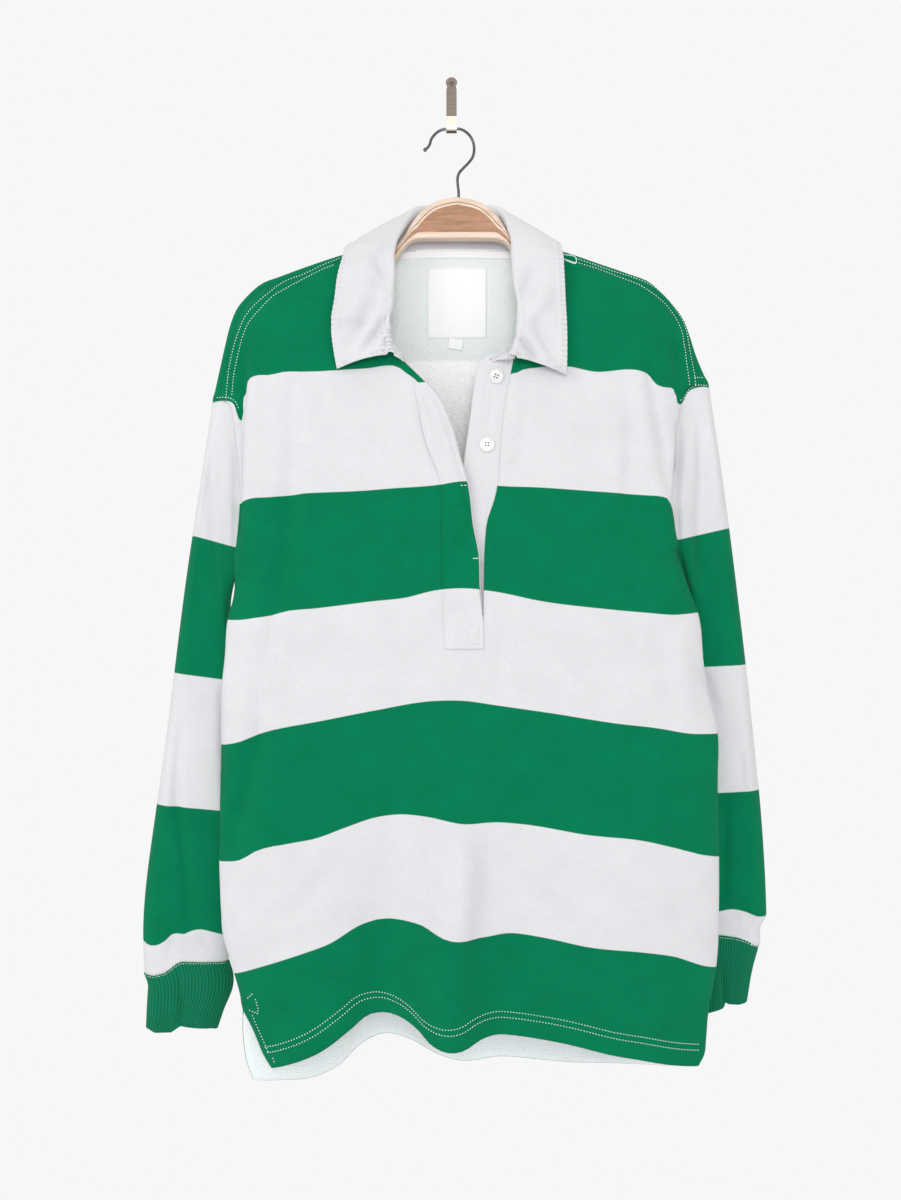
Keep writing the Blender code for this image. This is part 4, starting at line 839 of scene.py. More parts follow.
# %% Jersey, green and white
def jersey(name, inside):
    """Striped jersey: sharp stripes outside, soft ones that hardly show through inside."""
    made, tree, shader = finish_of(name, 0.92, Sheen_Weight=0.03, Specular_IOR_Level=0.06)
    place = add(tree, "ShaderNodeUVMap", uv_map="weave").outputs["UV"]
    # the sine of the stripe number is above zero in green bars and below it in white ones
    number = add(tree, "ShaderNodeAttribute", attribute_name="stripe").outputs["Fac"]
    wave = add(tree, "ShaderNodeMath", {0: number}, {1: pi}, operation="MULTIPLY")
    wave = add(tree, "ShaderNodeMath", {0: wave.outputs[0]}, operation="SINE")
    green = add(tree, "ShaderNodeMath", {0: wave.outputs[0]}, {1: 12.0 if inside else 60.0, 2: 0.5},
                operation="MULTIPLY_ADD", use_clamp=True).outputs[0]
    grain = add(tree, "ShaderNodeTexNoise", {"Vector": place},
                {"Scale": 1 / (1.1 * MM), "Detail": 2.0, "Roughness": 0.7})
    if inside:                        # loops about 1 mm wide, drawn at 1.5 mm so that they show
        # the inside's tones are pale loops, painted lighter still up to pure white: painted light
        # for the shaded inside
        deep = two_tones(tree, grain.outputs["Fac"], "#E1E7E6", "#EBF0F0")
        pale = two_tones(tree, grain.outputs["Fac"], "#FAFAFA", "#FFFFFF")
        loops = add(tree, "ShaderNodeTexVoronoi", {"Vector": place}, {"Scale": 1 / (1.5 * MM)})
        relief(tree, shader, loops.outputs["Distance"], 0.5)
    else:                             # patches of uneven dye 35 mm wide, and fuzz over 1.3 mm
        cloudy = add(tree, "ShaderNodeTexNoise", {"Vector": place},
                     {"Scale": 1 / (35 * MM), "Detail": 3.0, "Roughness": 0.6})
        mix = add(tree, "ShaderNodeMath", {0: cloudy.outputs["Fac"], 1: grain.outputs["Fac"]},
                  operation="MULTIPLY_ADD", values={2: 0.15}).outputs[0]
        deep = two_tones(tree, mix, "#016542", "#028459")
        pale = two_tones(tree, mix, "#CACACC", "#E3E3E5")
        drawn = add(tree, "ShaderNodeMapping", {"Vector": place}, {"Scale": (0.3, 1.0, 1.0)})
        fuzz = add(tree, "ShaderNodeTexNoise", {"Vector": drawn.outputs["Vector"]},
                   {"Scale": 1 / (1.3 * MM), "Detail": 4.0, "Roughness": 0.75})
        relief(tree, shader, fuzz.outputs["Fac"], 0.7)
    paint(tree, shader, add(tree, "ShaderNodeMix", {"Factor": green, 6: pale, 7: deep},
                            data_type="RGBA").outputs[2])
    return made


jersey_out = jersey("striped_cotton_jersey", inside=False)    # matt: folds are only soft shade
jersey_in = jersey("looped_cotton_terry", inside=True)        # pale, and no sharp line anywhere


# %% Rib knit, twill, labels and thread
def plain_cloth(name, dark, light, step_mm, turn, depth_mm, roughness=0.9, cross_mm=None):
    """Cloth of one colour: fine lines at a turn, a little mottled."""
    made, tree, shader = finish_of(name, roughness, Sheen_Weight=0.05, Specular_IOR_Level=0.15)
    place = add(tree, "ShaderNodeUVMap", uv_map="weave").outputs["UV"]
    grain = add(tree, "ShaderNodeTexNoise", {"Vector": place},
                {"Scale": 1 / (2.5 * MM), "Detail": 5.0, "Roughness": 0.7})
    paint(tree, shader, two_tones(tree, grain.outputs["Fac"], dark, light))
    weave = lines_across(tree, place, step_mm, turn).outputs["Fac"]
    if cross_mm:
        cross = lines_across(tree, place, cross_mm, turn + pi / 2)
        weave = add(tree, "ShaderNodeMath", {0: weave, 1: cross.outputs["Fac"]},
                    operation="ADD").outputs[0]
    rough = add(tree, "ShaderNodeMath", {0: grain.outputs["Fac"], 2: weave}, {1: 1.5},
                operation="MULTIPLY_ADD")
    relief(tree, shader, rough.outputs[0], depth_mm)
    return made


# Rib knit is matt and deep green, with painted shade, a darker green, in the valleys between ribs.
# Twill lines are about 0.6 mm apart, and the rows of a rib about 1 mm: all are drawn coarser here,
# since they'd be too fine to show.
rib_knit = plain_cloth("green_rib_knit", "#016B48", "#0B8560", 1.4, pi / 2, 0.15)
tree, shader = rib_knit.node_tree, rib_knit.node_tree.nodes["Principled BSDF"]
tone = shader.inputs["Base Color"].links[0].from_socket
# painted shade: the valleys between ribs are mixed towards a darker green by the rib wave
rib = add(tree, "ShaderNodeAttribute", attribute_name="stripe").outputs["Fac"]
paint(tree, shader, add(tree, "ShaderNodeMix", {"Factor": rib, 7: tone}, {6: colour("#015A3C")},
                        data_type="RGBA").outputs[2])
# Washed twill is a quiet, slightly grey white with faint slanting lines.
twill = plain_cloth("white_cotton_twill", "#CBCBCD", "#DADADC", 1.2, radians(58), 0.12)
# The same weave, painted a brighter white, is the brightest white in the neck: painted light
# against the hanger's shade.
tape_twill = plain_cloth("twill_painted_light_for_neck", "#F4F4F5", "#FFFFFF", 1.2, radians(58), 0.12)
# A woven label is smooth, so it has a soft shine that cotton lacks.
label_satin = plain_cloth("white_woven_label", "#EEEFF0", "#F8F8F9", 0.9, 0.0, 0.05, 0.6, 0.9)
# Twisted thread is brighter than the cloth, so that a row of stitches reads as a dotted line.
thread_white = plain_cloth("white_sewing_thread", "#F0FAF5", "#FFFFFF", 0.5, radians(35), 0.05, 0.6)
print("cloth finishes:", [m.name for m in bpy.data.materials if m.name != "pale_floor_paint"])


# %% [markdown]
# ## The body and the sleeves
# Front, back and sleeves are four panels of jersey. All their grids are first joined into one
# skin, so that two panels that share a seam agree on which way the cloth faces there. Creases and
# the raised bands at seams and hem are pushed out along that direction, and then each panel is cut
# out of the skin again and given its thickness.

# %% Creases of the jersey
FRONT_CREASES = [                 # half width and height in mm, then the path's x, z in mm
    (5, -5.0, (-201, -253), (-202, -288), (-203, -320)),
    (4, -9.0, (-203, -300), (-205, -327), (-206.5, -375), (-206.5, -449)),
    (5, -5.0, (217, -234), (219, -262), (220, -284)),
    (4, -7.0, (220.6, -330), (221, -352), (219, -378), (217, -414), (217, -438)),
    (4, -3.8, (219, -448), (223, -475), (229, -495), (238, -507)),
    (9, 3.1, (-190, -262), (-190, -330), (-189, -400), (-192, -470)),
    (8, -5.0, (-150, -282), (-152, -337), (-153, -398), (-159, -450), (-166, -497), (-173, -544),
     (-186, -622), (-199, -688), (-213, -736)),
    (9, 3.1, (-139, -300), (-141, -398), (-148, -470), (-160, -550), (-172, -622)),
    (6, -4.6, (-179, -594), (-187, -650), (-199, -688), (-210, -732)),
    (7, -2.5, (-140, -641), (-167, -728), (-199, -808)),
    (8, -2.5, (-102, -744), (-142, -786), (-183, -813)),
    (5, -3.5, (188, -260), (191, -286), (195, -313), (200, -337), (207, -385), (215, -414)),
    (8, 3.4, (180, -276), (184, -330), (192, -385), (203, -425)),
    (7, -3.1, (169, -289), (171, -347), (168, -398), (171, -443)),
    (5, -2.2, (76, -282), (71, -318), (66, -347), (58, -389)),
    (6, -2.1, (126, -289), (126, -338)),
    (7, -3.1, (188, -516), (195, -533), (200, -544), (204, -585)),
    (6, -2.5, (46, -528), (47, -557), (46, -585)),
    (9, 3.1, (219, -528), (222, -595), (223, -623)),
    (10, -3.4, (206, -797), (222, -797)),
    (8, -2.5, (104, -875), (123, -886)),
    (9, -4.2, (-20, -688), (-20, -718), (-23, -769), (-27, -793), (-30, -837)),
    (9, -4.2, (33, -719), (33, -772), (27, -818), (25, -860)),
    (10, 4.2, (11, -718), (11, -768), (11, -807)),
    (4, -1.5, (-234, -345), (-236, -380), (-239, -403), (-243, -445)),
    (6, -3.8, (-231, -350), (-231, -400), (-230, -440), (-233, -465)),
    (5, -4.0, (-263, -587), (-265, -645), (-266, -701), (-261, -733), (-258, -765), (-253, -817)),
    (4, -3.0, (-223, -587), (-219, -690)),
    (3, -3.0, (-273, -820), (-271, -835), (-268, -844)),
    (6, -5.3, (241, -313), (242, -374), (239, -433), (242, -484)),
    (5, -3.0, (240, -564), (250, -587), (257, -609)),
    (5, -3.0, (282, -645), (282, -681)),
    (4, -3.0, (296, -597), (296, -682)),
    (5, -3.0, (265, -691), (265, -798)),
    (3, -3.0, (291, -807), (296, -820)),
    (1.8, -0.8, (-42, -278), (-37, -300), (-30, -325), (-24, -355), (-19, -386)),
    (3, -1.6, (-277, -832), (-274, -845), (-271, -856)),
    (3, 1.4, (-268, -828), (-265, -842), (-262, -852)),
    (4, -1.5, (-243, -822), (-240, -834), (-235, -843)),
    (3, -1.6, (284, -800), (288, -812), (291, -824)),
    (4, -1.4, (268, -806), (276, -815), (283, -826)),
]
BACK_CREASES = [
    (22, 2.0, (-60, -230), (-66, -420)),
    (24, -2.0, (70, -240), (64, -430)),
    (18, -2.6, (-150, -300), (-158, -390), (-176, -480)),
    (18, -2.4, (160, -290), (168, -380), (190, -470)),
    (30, 2.4, (0, -420), (4, -560), (-6, -700)),
    (26, -3.0, (-110, -560), (-118, -700), (-112, -860)),
    (28, -3.0, (110, -540), (122, -700), (118, -880)),
    (20, -2.6, (-40, -720), (-36, -930)),
    (22, 2.0, (60, -740), (64, -930)),
    (9, -2.2, (-248, -340), (-252, -470)),
    (8, -2.4, (-262, -560), (-266, -700), (-270, -800)),
    (9, -2.2, (250, -340), (256, -480)),
    (8, -2.2, (276, -600), (284, -760)),
]
SIDE_EDGE = {    # how far the right side is drawn across below the cuff: z down, shift in mm
    "back": [(800, 0), (834, -4), (855, -3.5), (872, 0), (890, 3), (910, 1), (940, 0)],
    "front": [(800, 0), (834, -4), (855, -3.5), (872, 0), (890, 3), (915, 5.5), (940, 6)],
}
CUFF_TOP = {     # how far the seam of each cuff is raised: x, rise in mm
    -1: [(-300, -1), (-289, -2.3), (-280, -1), (-273, 3), (-268, 7), (-262, 9), (-254, 8),
         (-234, 6), (-218, 3.5)],
    1: [(240, 10.5), (266, 10.5), (279, 9.5), (288, 7), (298, 3.4)],
}
CUFF_FOOT = {    # and how far its lower edge is
    -1: [(-295, 4), (-288.6, 1.3), (-273, 1.5), (-264, 7.4), (-256, 6), (-234, 3.3), (-227, 0)],
    1: [(250, -2.8), (264.3, 1.1), (266.6, 6.5), (270, 4.8), (279, 3.6), (285, 3.6)],
}
CUFF_REACH = {-1: (-822, 28, 0), 1: (-792, 38, -6.5)}    # start and height of the gathers, pull in
SAME_POINT = 0.02 * MM        # points closer than this are one point of the skin
RELAX_TIMES = 160             # how often each sleeve ring is eased towards its neighbours


def join(grids):
    """Points shared by several grids, and for each grid the numbers of its points."""
    every = np.vstack([grid.reshape(-1, 3) for grid in grids])
    keys = np.round(every / SAME_POINT).astype(np.int64)
    first, back = np.unique(keys, axis=0, return_index=True, return_inverse=True)[1:]
    ends = np.cumsum([grid.shape[0] * grid.shape[1] for grid in grids])[:-1]
    parts = np.split(back.reshape(-1), ends)
    return every[first], [part.reshape(grid.shape[:2]) for part, grid in zip(parts, grids)]


def numbered_faces(numbers, flip, closed=False):
    """A grid's faces by the numbers of its points; corners that fell together count once."""
    flat = numbers.reshape(-1)
    faces = [tuple(dict.fromkeys(int(flat[k]) for k in face))
             for face in grid_faces(*numbers.shape, flip, closed)]
    return [face for face in faces if len(face) > 2]


def sleeve_rings(side):
    """A sleeve's rings, each from the underarm seam round the front, over and down the back.

    The rings fan out round the underarm, so each is eased towards its neighbours.
    """
    rings = []
    for place in np.linspace(0, 1, SLEEVE_RINGS + 1):
        down, over, up = sleeve_ring(side, place)
        ring = np.vstack((down, up[::-1][1:], over[::-1]))
        rings.append(np.roll(ring, -ARM_ROWS, axis=0))
    rings = np.array(rings)
    for _ in range(RELAX_TIMES):
        rings[1:-1] += 0.25 * (rings[:-2] - 2 * rings[1:-1] + rings[2:])
    return rings


def weave_of(grid):
    """A map in metres over a grid: how far along its rows and down its columns."""
    across = np.array([run_along(row) for row in grid])
    down = np.linalg.norm(np.diff(grid, axis=0), axis=2).mean(axis=1)
    down = np.concatenate(([0.0], np.cumsum(down)))
    across, down = np.broadcast_arrays(across, -down[:, None])
    return np.stack((across, down), axis=2).reshape(-1, 2)


# %% Join the panels' grids in one skin
right_half, left_half = front_top(-1), front_top(1)
low = front_low(right_half, left_half)
wraps, upper, lower = back_panels()
sleeves = {side: sleeve_rings(side) for side in (-1, 1)}
grids = [right_half, left_half, low, wraps[-1], wraps[1], upper, lower, sleeves[-1], sleeves[1]]
skin, numbers = join(grids)
SLEEVE_GRID = {-1: 7, 1: 8}   # where each sleeve stands in the list of grids
PANELS = {                    # grids of each panel, and whether each is turned over
    "front": ((0, True), (1, False), (2, True)),
    "back": ((3, False), (4, True), (5, False), (6, False)),
    "sleeve_right": ((7, True),),
    "sleeve_left": ((8, False),),
}
faces = {panel: [face for k, flip in rows
                 for face in numbered_faces(numbers[k], flip, k in SLEEVE_GRID.values())]
         for panel, rows in PANELS.items()}
every_face = [face for rows in faces.values() for face in rows]
normals = skin_normals(skin, every_face)
FAR = 60 * MM                 # cloth further behind than this doesn't matter


def room_behind(points, normals, tree):
    """How far the cloth can be pressed in at each point and still clear the cloth behind it."""
    room = np.empty(len(points))
    for k, (point, normal) in enumerate(zip(points, normals)):
        start = Vector(point - normal * KNIT / 2)
        gap = tree.ray_cast(start, Vector(-normal), FAR)[3]
        room[k] = FAR if gap is None else gap + KNIT / 2
    return np.clip(0.42 * (room - 2 * KNIT - 0.6 * MM), 0, None)


def cuff_wave(side, points, x):
    """The sleeve's gathered end is drawn up unevenly where the cuff is sewn on."""
    start, height, pull = CUFF_REACH[side]
    fade = smooth((start * MM - points[:, 2]) / (height * MM))
    rise = np.interp(x, *mm(CUFF_TOP[side]).T) * fade
    drawn_in = smooth(((start - 16) * MM - points[:, 2]) / (18 * MM))
    inward = pull * MM * drawn_in * smooth((x - 268 * MM) / (32 * MM))
    return np.stack((inward, 0 * x, rise), axis=1)


def creases_on(points, normals, rows, facing):
    """The creases of one side of the shirt: only where the cloth faces that way."""
    paths = [(curve(flat_path(places), np.linspace(0, 1, 6 * len(places))), half_width, height)
             for half_width, height, *places in rows]
    return (crease(points * (1, 0, 1), normals, paths)
            * smooth(normals[:, 1] * facing * 2.5)[:, None])


# %% Creases, raised bands at the hem, vents and seams, and the sleeves' gathered ends
used = {panel: np.unique([k for face in rows for k in face]) for panel, rows in faces.items()}
moved = creases_on(skin, normals, FRONT_CREASES, -1)
moved += creases_on(skin, normals, BACK_CREASES, 1)
room = room_behind(skin, normals, tree_of(skin, every_face))
pressed = -(moved * normals).sum(axis=1)
moved *= np.where(pressed > room, room / np.maximum(pressed, 1e-9), 1.0)[:, None]
HEM_BAND, HEM_GROOVE, HEM_RISE = 22.5 * MM, 18.8 * MM, 0.5 * MM
VENT_BAND, SEAM_BAND, SEAM_RISE = 11 * MM, 8.5 * MM, 0.45 * MM
for panel, grid in (("front", low), ("back", lower)):
    mine = used[panel]
    away = beside(skin[mine], grid[-1])[0]
    rise = smooth((HEM_BAND - away) / (3 * MM))
    rise = rise - 0.6 * np.exp(-((away - HEM_GROOVE) / (2 * MM)) ** 2)
    for column in (0, -1):
        away = beside(skin[mine], grid[-VENT_ROWS - 1:, column])[0]
        rise = np.maximum(rise, smooth((VENT_BAND - away) / (3 * MM)))
    moved[mine] += normals[mine] * (rise * HEM_RISE)[:, None]
body = np.unique(np.concatenate((used["front"], used["back"])))
for seam in (right_half[0], left_half[0], sleeves[-1][0], sleeves[1][0]):
    away = beside(skin[body], seam)[0]
    rise = smooth((SEAM_BAND - away) / (3 * MM)) * smooth(away / (1.0 * MM)) * SEAM_RISE
    moved[body] += normals[body] * rise[:, None]
drawn = np.zeros(len(skin))
for panel, rows in SIDE_EDGE.items():
    drawn[used[panel]] = np.interp(-skin[used[panel], 2], *mm(rows).T)
moved[:, 0] += drawn * smooth((-150 * MM - skin[:, 0]) / (45 * MM))
skin_before, normals_before = skin, normals
skin = skin + moved
for side, number in SLEEVE_GRID.items():
    arm = np.unique(numbers[number])
    skin[arm] += cuff_wave(side, skin[arm], skin[arm, 0])
normals = skin_normals(skin, every_face)
print(len(skin), "points of skin; moved by up to", round(np.abs(moved).max() / MM, 1), "mm")


# %% Cut out the four panels
def cut_out(panel, lines):
    """One body panel from the joined skin."""
    mine = used[panel]
    number = {int(k): n for n, k in enumerate(mine)}
    own = [tuple(number[k] for k in face) for face in faces[panel]]
    points = skin[mine]
    return cloth(panel + "_jersey", points, own, KNIT, jersey_out, jersey_in,
                 points[:, [0, 2]], stripe_number(lines, points), normals[mine])


def sleeve_panel(side, name):
    """A sleeve, open along its underarm seam, where its two edges are sewn together."""
    ring = numbers[SLEEVE_GRID[side]]
    ring = np.hstack((ring, ring[:, :1]))
    points = skin[ring]
    flat = points.reshape(-1, 3)
    return cloth(name, flat, grid_faces(*ring.shape, flip=side < 0), KNIT, jersey_out, jersey_in,
                 weave_of(points), stripe_number([BODY_LINES[0]] + SLEEVE_LINES[side], flat),
                 normals[ring.reshape(-1)])


front = cut_out("front", BODY_LINES)
back = cut_out("back", [BACK_TOP] + level_lines(BODY_LINES[1:], 0.5))
sleeve_right = sleeve_panel(-1, "sleeve_right_jersey")
sleeve_left = sleeve_panel(1, "sleeve_left_jersey")
for piece, node in ((front, "front"), (back, "back"), (sleeve_right, "sleeve_right"),
                    (sleeve_left, "sleeve_left")):
    dress(piece, node)


# %% [markdown]
# ## Rib cuffs
# A rib cuff is knitted in ridges that run along the arm, which is what lets it stretch. The ring
# of each cuff is read four times for every rib, and the points between ribs stay low, so the ribs
# are real ridges and catch the light.

# %% Cuffs
RIB_RISE = 0.8 * MM
CUFF_ROWS = 24
CUFF_FOLD = {-1: [(-266, 0, -868), (-263, 0, -895), (-262, 0, -918)],
             1: [(262, 0, -862), (264, 0, -880), (266, 0, -900)]}
cuff_lines = []


def cuff(side, name, node):
    """One cuff: its rings from the seam down, the ribs, a fold, and both ends drawn up."""
    places = np.linspace(0, 1, len(CUFF[side]))
    around = 4 * RIBS
    rows = []
    for place in np.linspace(0, 1, CUFF_ROWS + 1):
        out_x, out_z, in_x, in_z, half = (float(lookup(list(zip(places, column)), place))
                                          for column in np.array(CUFF[side]).T)
        row = dict(out_x=out_x, out_z=out_z, in_x=in_x, in_y=-30, in_z=in_z, out_y=-30,
                   half=half * (1 + 0.03 * sin(2 * pi * place)), corner=1.0)
        front_half, back_half = section_edges(row, half * MM)
        ring = np.vstack((front_half, back_half[::-1][1:-1]))
        rows.append(along(np.vstack((ring, ring[:1])), np.arange(around + 1) / around))
    grid = np.array(rows)
    flat = grid.reshape(-1, 3)
    own = grid_faces(*grid.shape[:2], flip=side < 0)
    wrapped = [tuple(k - around if k % (around + 1) == around else k for k in f) for f in own]
    out = skin_normals(flat, wrapped)
    out[around::around + 1] = out[::around + 1]
    wave = np.tile(0.5 - 0.5 * np.cos(2 * pi * np.arange(around + 1) / 4), len(rows))
    flat = flat + out * (wave * RIB_RISE)[:, None]
    fold = [(np.array(CUFF_FOLD[side]) * MM, 3.0, -2.6)]
    flat += crease(flat * (1, 0, 1), out, fold) * smooth(-2 * out[:, 1])[:, None]
    down = np.repeat(np.linspace(0, 1, len(rows)), around + 1)
    x_top, x_foot = np.tile(grid[0, :, 0], len(rows)), np.tile(grid[-1, :, 0], len(rows))
    flat[:, 2] += (np.interp(x_top, *mm(CUFF_TOP[side]).T) * (1 - down)
                   + np.interp(x_foot, *mm(CUFF_FOOT[side]).T) * down)
    cuff_lines.append(flat.reshape(grid.shape)[1, 6:2 * RIBS - 6])
    # the rib wave goes in as the stripe number, which paints shade into the valleys between ribs
    piece = cloth(name, flat, own, KNIT, rib_knit, rib_knit, weave_of(grid), 0.15 + 0.85 * wave,
                  out)
    dress(piece, node)
    return piece


cuff_right = cuff(-1, "cuff_right_rib", "cuff_right")
cuff_left = cuff(1, "cuff_left_rib", "cuff_left")

# %% [markdown]
# ## Collar
# The collar is one folded band of twill. It stands up from the neck seam, turns over a roll line
# and falls to its outer edge. At its front ends the seam takes up more cloth than the band has
# room for, so it puckers there, and a row of topstitching draws in its edge.

# %% Collar
STATIONS = np.concatenate((np.linspace(0, 0.3, 150), np.linspace(0.3, 0.7, 80)[1:],
                           np.linspace(0.7, 1, 150)[1:]))
PUCKER_BAND = 2.6 * MM        # how far in from the edge the puckers are highest
PUCKER_RISE = 0.6             # and how high, in mm
COLLAR_ROW, GROOVE_HALF = 6 * MM, 1.2 * MM        # the stitched groove in from the edge, half width
STAND_ROWS = 6
LEAF_STEPS = 60
TURN_ANGLES = np.linspace(-90, 90, 9)
COLLAR_CREASES = [    # station and row shares of both ends, half width and height in mm
    (0.020, 0.72, 0.085, 0.42, 5, 7.0), (0.006, 0.60, 0.060, 0.38, 4, -4.0),
    (0.040, 0.86, 0.160, 0.60, 7, 6.8), (0.115, 0.50, 0.200, 0.80, 8, -4.8),
    (0.080, 0.66, 0.105, 0.98, 6, 5.2), (0.170, 0.52, 0.260, 0.66, 7, 6.2),
    (0.980, 0.72, 0.925, 0.45, 5, 7.0), (0.994, 0.60, 0.950, 0.42, 4, -4.0),
    (0.950, 0.88, 0.870, 0.60, 8, 6.8), (0.895, 0.52, 0.800, 0.82, 9, -4.8),
    (0.840, 0.50, 0.760, 0.70, 8, 5.8), (0.740, 0.55, 0.700, 0.95, 8, -2.6),
    (0.280, 0.60, 0.310, 0.95, 7, -2.2), (0.450, 0.55, 0.460, 0.90, 8, 1.6),
    (0.560, 0.55, 0.545, 0.90, 8, -1.6),
]


def underlap_y(x, z):
    """Depth of the underlap: behind the front's left half, deeper towards its free edge."""
    slit = np.interp(-z, -mm(SLIT[1])[:, 1], mm(SLIT[1])[:, 0])
    inside = np.clip(slit - x, 0, None)
    start, height, back_by = UNDERLAP_FOOT
    beside = np.clip(inside / (2 * UNDERLAP_STEP * MM), 0, 1)
    return (front_y(x, z) + KNIT + SEAM + UNDERLAP_STEP * MM * beside + UNDERLAP_LEAN * inside
            + back_by * MM * smooth((start * MM - z) / (height * MM)))


def neck_seam():
    """The line the collar is sewn to, from the right front round the back to the left."""
    line = np.vstack((right_half[NECKLINE_ROWS::-1, -1], wraps[-1][1:, -1], back_neck()[1:-1],
                      wraps[1][::-1, -1], left_half[1:NECKLINE_ROWS + 1, -1]))
    keys = np.round(skin_before / SAME_POINT).astype(np.int64)
    place = {tuple(key): n for n, key in enumerate(keys)}
    found = [place[tuple(key)] for key in np.round(line / SAME_POINT).astype(np.int64)]
    count = len(line) - 1
    ends = np.minimum(np.arange(count + 1), count - np.arange(count + 1)) / NECKLINE_ROWS
    depth = KNIT - (KNIT + SEAM + TWILL) * (1 - smooth(ends - 0.3))
    base = skin_before[found] - normals_before[found] * depth[:, None]
    tail = [(x * MM, float(underlap_y(np.array(x * MM), np.array(z * MM))) - 0.5 * MM, z * MM)
            for x, z in COLLAR_TAIL]
    return np.vstack((base, tail))


def collar_rows():
    """The collar's grid: at each station the stand, the turn over the roll line and the leaf."""
    bases = along(neck_seam(), STATIONS)
    table = np.array(COLLAR)
    values = [np.interp(STATIONS, *curve(table[:, [0, k]] * (1, MM), np.linspace(0, 1, 400)).T)
              for k in range(1, 7)]
    rolls, edges = np.stack(values[:3], axis=1), np.stack(values[3:], axis=1)
    rows = []
    for base, roll, edge in zip(bases, rolls, edges):
        rise = (roll - base) / np.linalg.norm(roll - base)
        fall = (edge - roll) / np.linalg.norm(edge - roll)
        apex = (rise - fall) / np.linalg.norm(rise - fall)
        out = edge - base
        out -= apex * np.dot(out, apex)
        out /= np.linalg.norm(out)
        base = base - rise * 0.2 * MM
        turn = [roll + out * ROLL_HALF_WIDTH * sin(radians(a))
                - apex * ROLL_HALF_WIDTH * (1 - cos(radians(a))) for a in TURN_ANGLES]
        crown = np.cross(np.cross(fall, apex), fall)
        crown /= max(np.linalg.norm(crown), 1e-9)
        stand = [base + (turn[0] - base) * t for t in np.arange(STAND_ROWS) / STAND_ROWS]
        leaf = [turn[-1] + (edge - turn[-1]) * t + crown * LEAF_CROWN * sin(pi * t)
                for t in np.arange(1, LEAF_STEPS + 1) / LEAF_STEPS]
        rows.append(stand + turn + leaf)
    return np.array(rows)


collar_grid = collar_rows()
collar_flat = collar_grid.reshape(-1, 3)
collar_faces = grid_faces(*collar_grid.shape[:2], flip=False)
collar_out = skin_normals(collar_flat, collar_faces)


def on_collar(station, row):
    """The point at a station and a row, each from 0 to 1; the leaf takes rows 0.5 to 1."""
    rolled = STAND_ROWS + len(TURN_ANGLES)
    j = row * 2 * rolled if row < 0.5 else rolled + (row - 0.5) * 2 * (LEAF_STEPS - 1)
    return collar_grid[int(np.searchsorted(STATIONS, station)), int(j)]


rows = [(np.array((on_collar(*row[:2]), on_collar(*row[2:4]))), *row[4:])
        for row in COLLAR_CREASES]
collar_flat = collar_flat + crease(collar_flat, collar_out, rows)
edges = (collar_grid[:, -1], collar_grid[0, STAND_ROWS + 8:], collar_grid[-1, STAND_ROWS + 8:])
away, share = np.stack([beside(collar_flat, edge) for edge in edges], axis=1)
nearest = away.argmin(axis=0)
picked = np.arange(len(collar_flat))
edge_away, edge_share = away[nearest, picked], share[nearest, picked]
waves = np.array((105, 14, 14))[nearest]          # puckers along each edge
ripple = np.sin(2 * pi * waves * edge_share + 2.4 * np.sin(23 * edge_share))
pucker = np.exp(-((edge_away - PUCKER_BAND) / PUCKER_BAND) ** 2)
pucker = pucker * (0.6 + 0.4 * np.sin(9 * edge_share))
groove = np.exp(-((edge_away - COLLAR_ROW) / GROOVE_HALF) ** 2)
rise = pucker * ripple * PUCKER_RISE * MM - groove * PUCKER_RISE * MM
station = np.repeat(STATIONS, collar_grid.shape[1])
row_number = np.tile(np.arange(collar_grid.shape[1]), len(STATIONS))
gathered = smooth((0.085 - np.minimum(station, 1 - station)) / 0.04)
gathered *= smooth((STAND_ROWS + 16 - row_number) / 9)
rise += gathered * (np.sin(station * 640 + row_number * 0.45) * 0.75
                    + np.sin(station * 210 - row_number * 0.3) * 0.9) * MM
collar_flat = collar_flat + collar_out * rise[:, None]
collar = cloth("collar_twill", collar_flat, collar_faces, TWILL, twill, twill,
               weave_of(collar_grid))
collar.data.materials.append(tape_twill)        # the stand's inside: a brighter white, painted light against the hanger's shade
columns = collar_grid.shape[1] - 1
for n in range(len(collar_faces)):
    if n % columns < STAND_ROWS + 3:
        collar.data.polygons[n].material_index = 2
dress(collar, "collar")

# %% [markdown]
# ## Placket
# The opening at the neck is finished with three strips. The fly is a strip of the same jersey,
# stitched down on the right half. The facing is twill behind it, and shows as a thin white line
# along the edge. The underlap is twill on the left half, and carries the buttons.

# %% Placket strips, tape and labels
def thin_piece(name, x, y, z, thick, finish, stripe=None):
    """A grid of thin cloth of one finish, its right side forward."""
    flat = np.stack((x, y, z), axis=2).reshape(-1, 3)
    return cloth(name, flat, grid_faces(*x.shape, flip=True), thick, finish, finish,
                 flat[:, [0, 2]], stripe)


def strip(name, left, right, top_and_foot, counts, depth, finish, stripes=False):
    """A strip of cloth between two edges x(z), following a depth."""
    z = np.linspace(*mm(top_and_foot), counts[0])[:, None]
    x_left, x_right = (np.interp(-z, -edge[:, 1], edge[:, 0]) for edge in (left, right))
    x = x_left + (x_right - x_left) * np.linspace(0, 1, counts[1])[None]
    z = np.broadcast_to(z, x.shape)
    number = None
    if stripes:                      # at its very top the edge is rolled over to the green
        number = stripe_number(BODY_LINES, np.stack((x, x, z), axis=2).reshape(-1, 3))
        rolled = (z > -291 * MM) & (x > x_right - 6.5 * MM)
        number = np.where(rolled.ravel(), 0.5, number)
    return thin_piece(name, x, depth(x, z), z, STRIP, finish, number)


def smooth_edge(points):
    """A table of x, z read finely along a smooth curve, with z falling."""
    return curve(mm(points), np.linspace(0, 1, 80))


def ripples(x, z, size):
    """Slight waves in a strip that was stitched down along both edges; size in mm."""
    return size * MM * (np.sin(x / (7 * MM) + z / (19 * MM)) * np.sin(z / (11 * MM)))


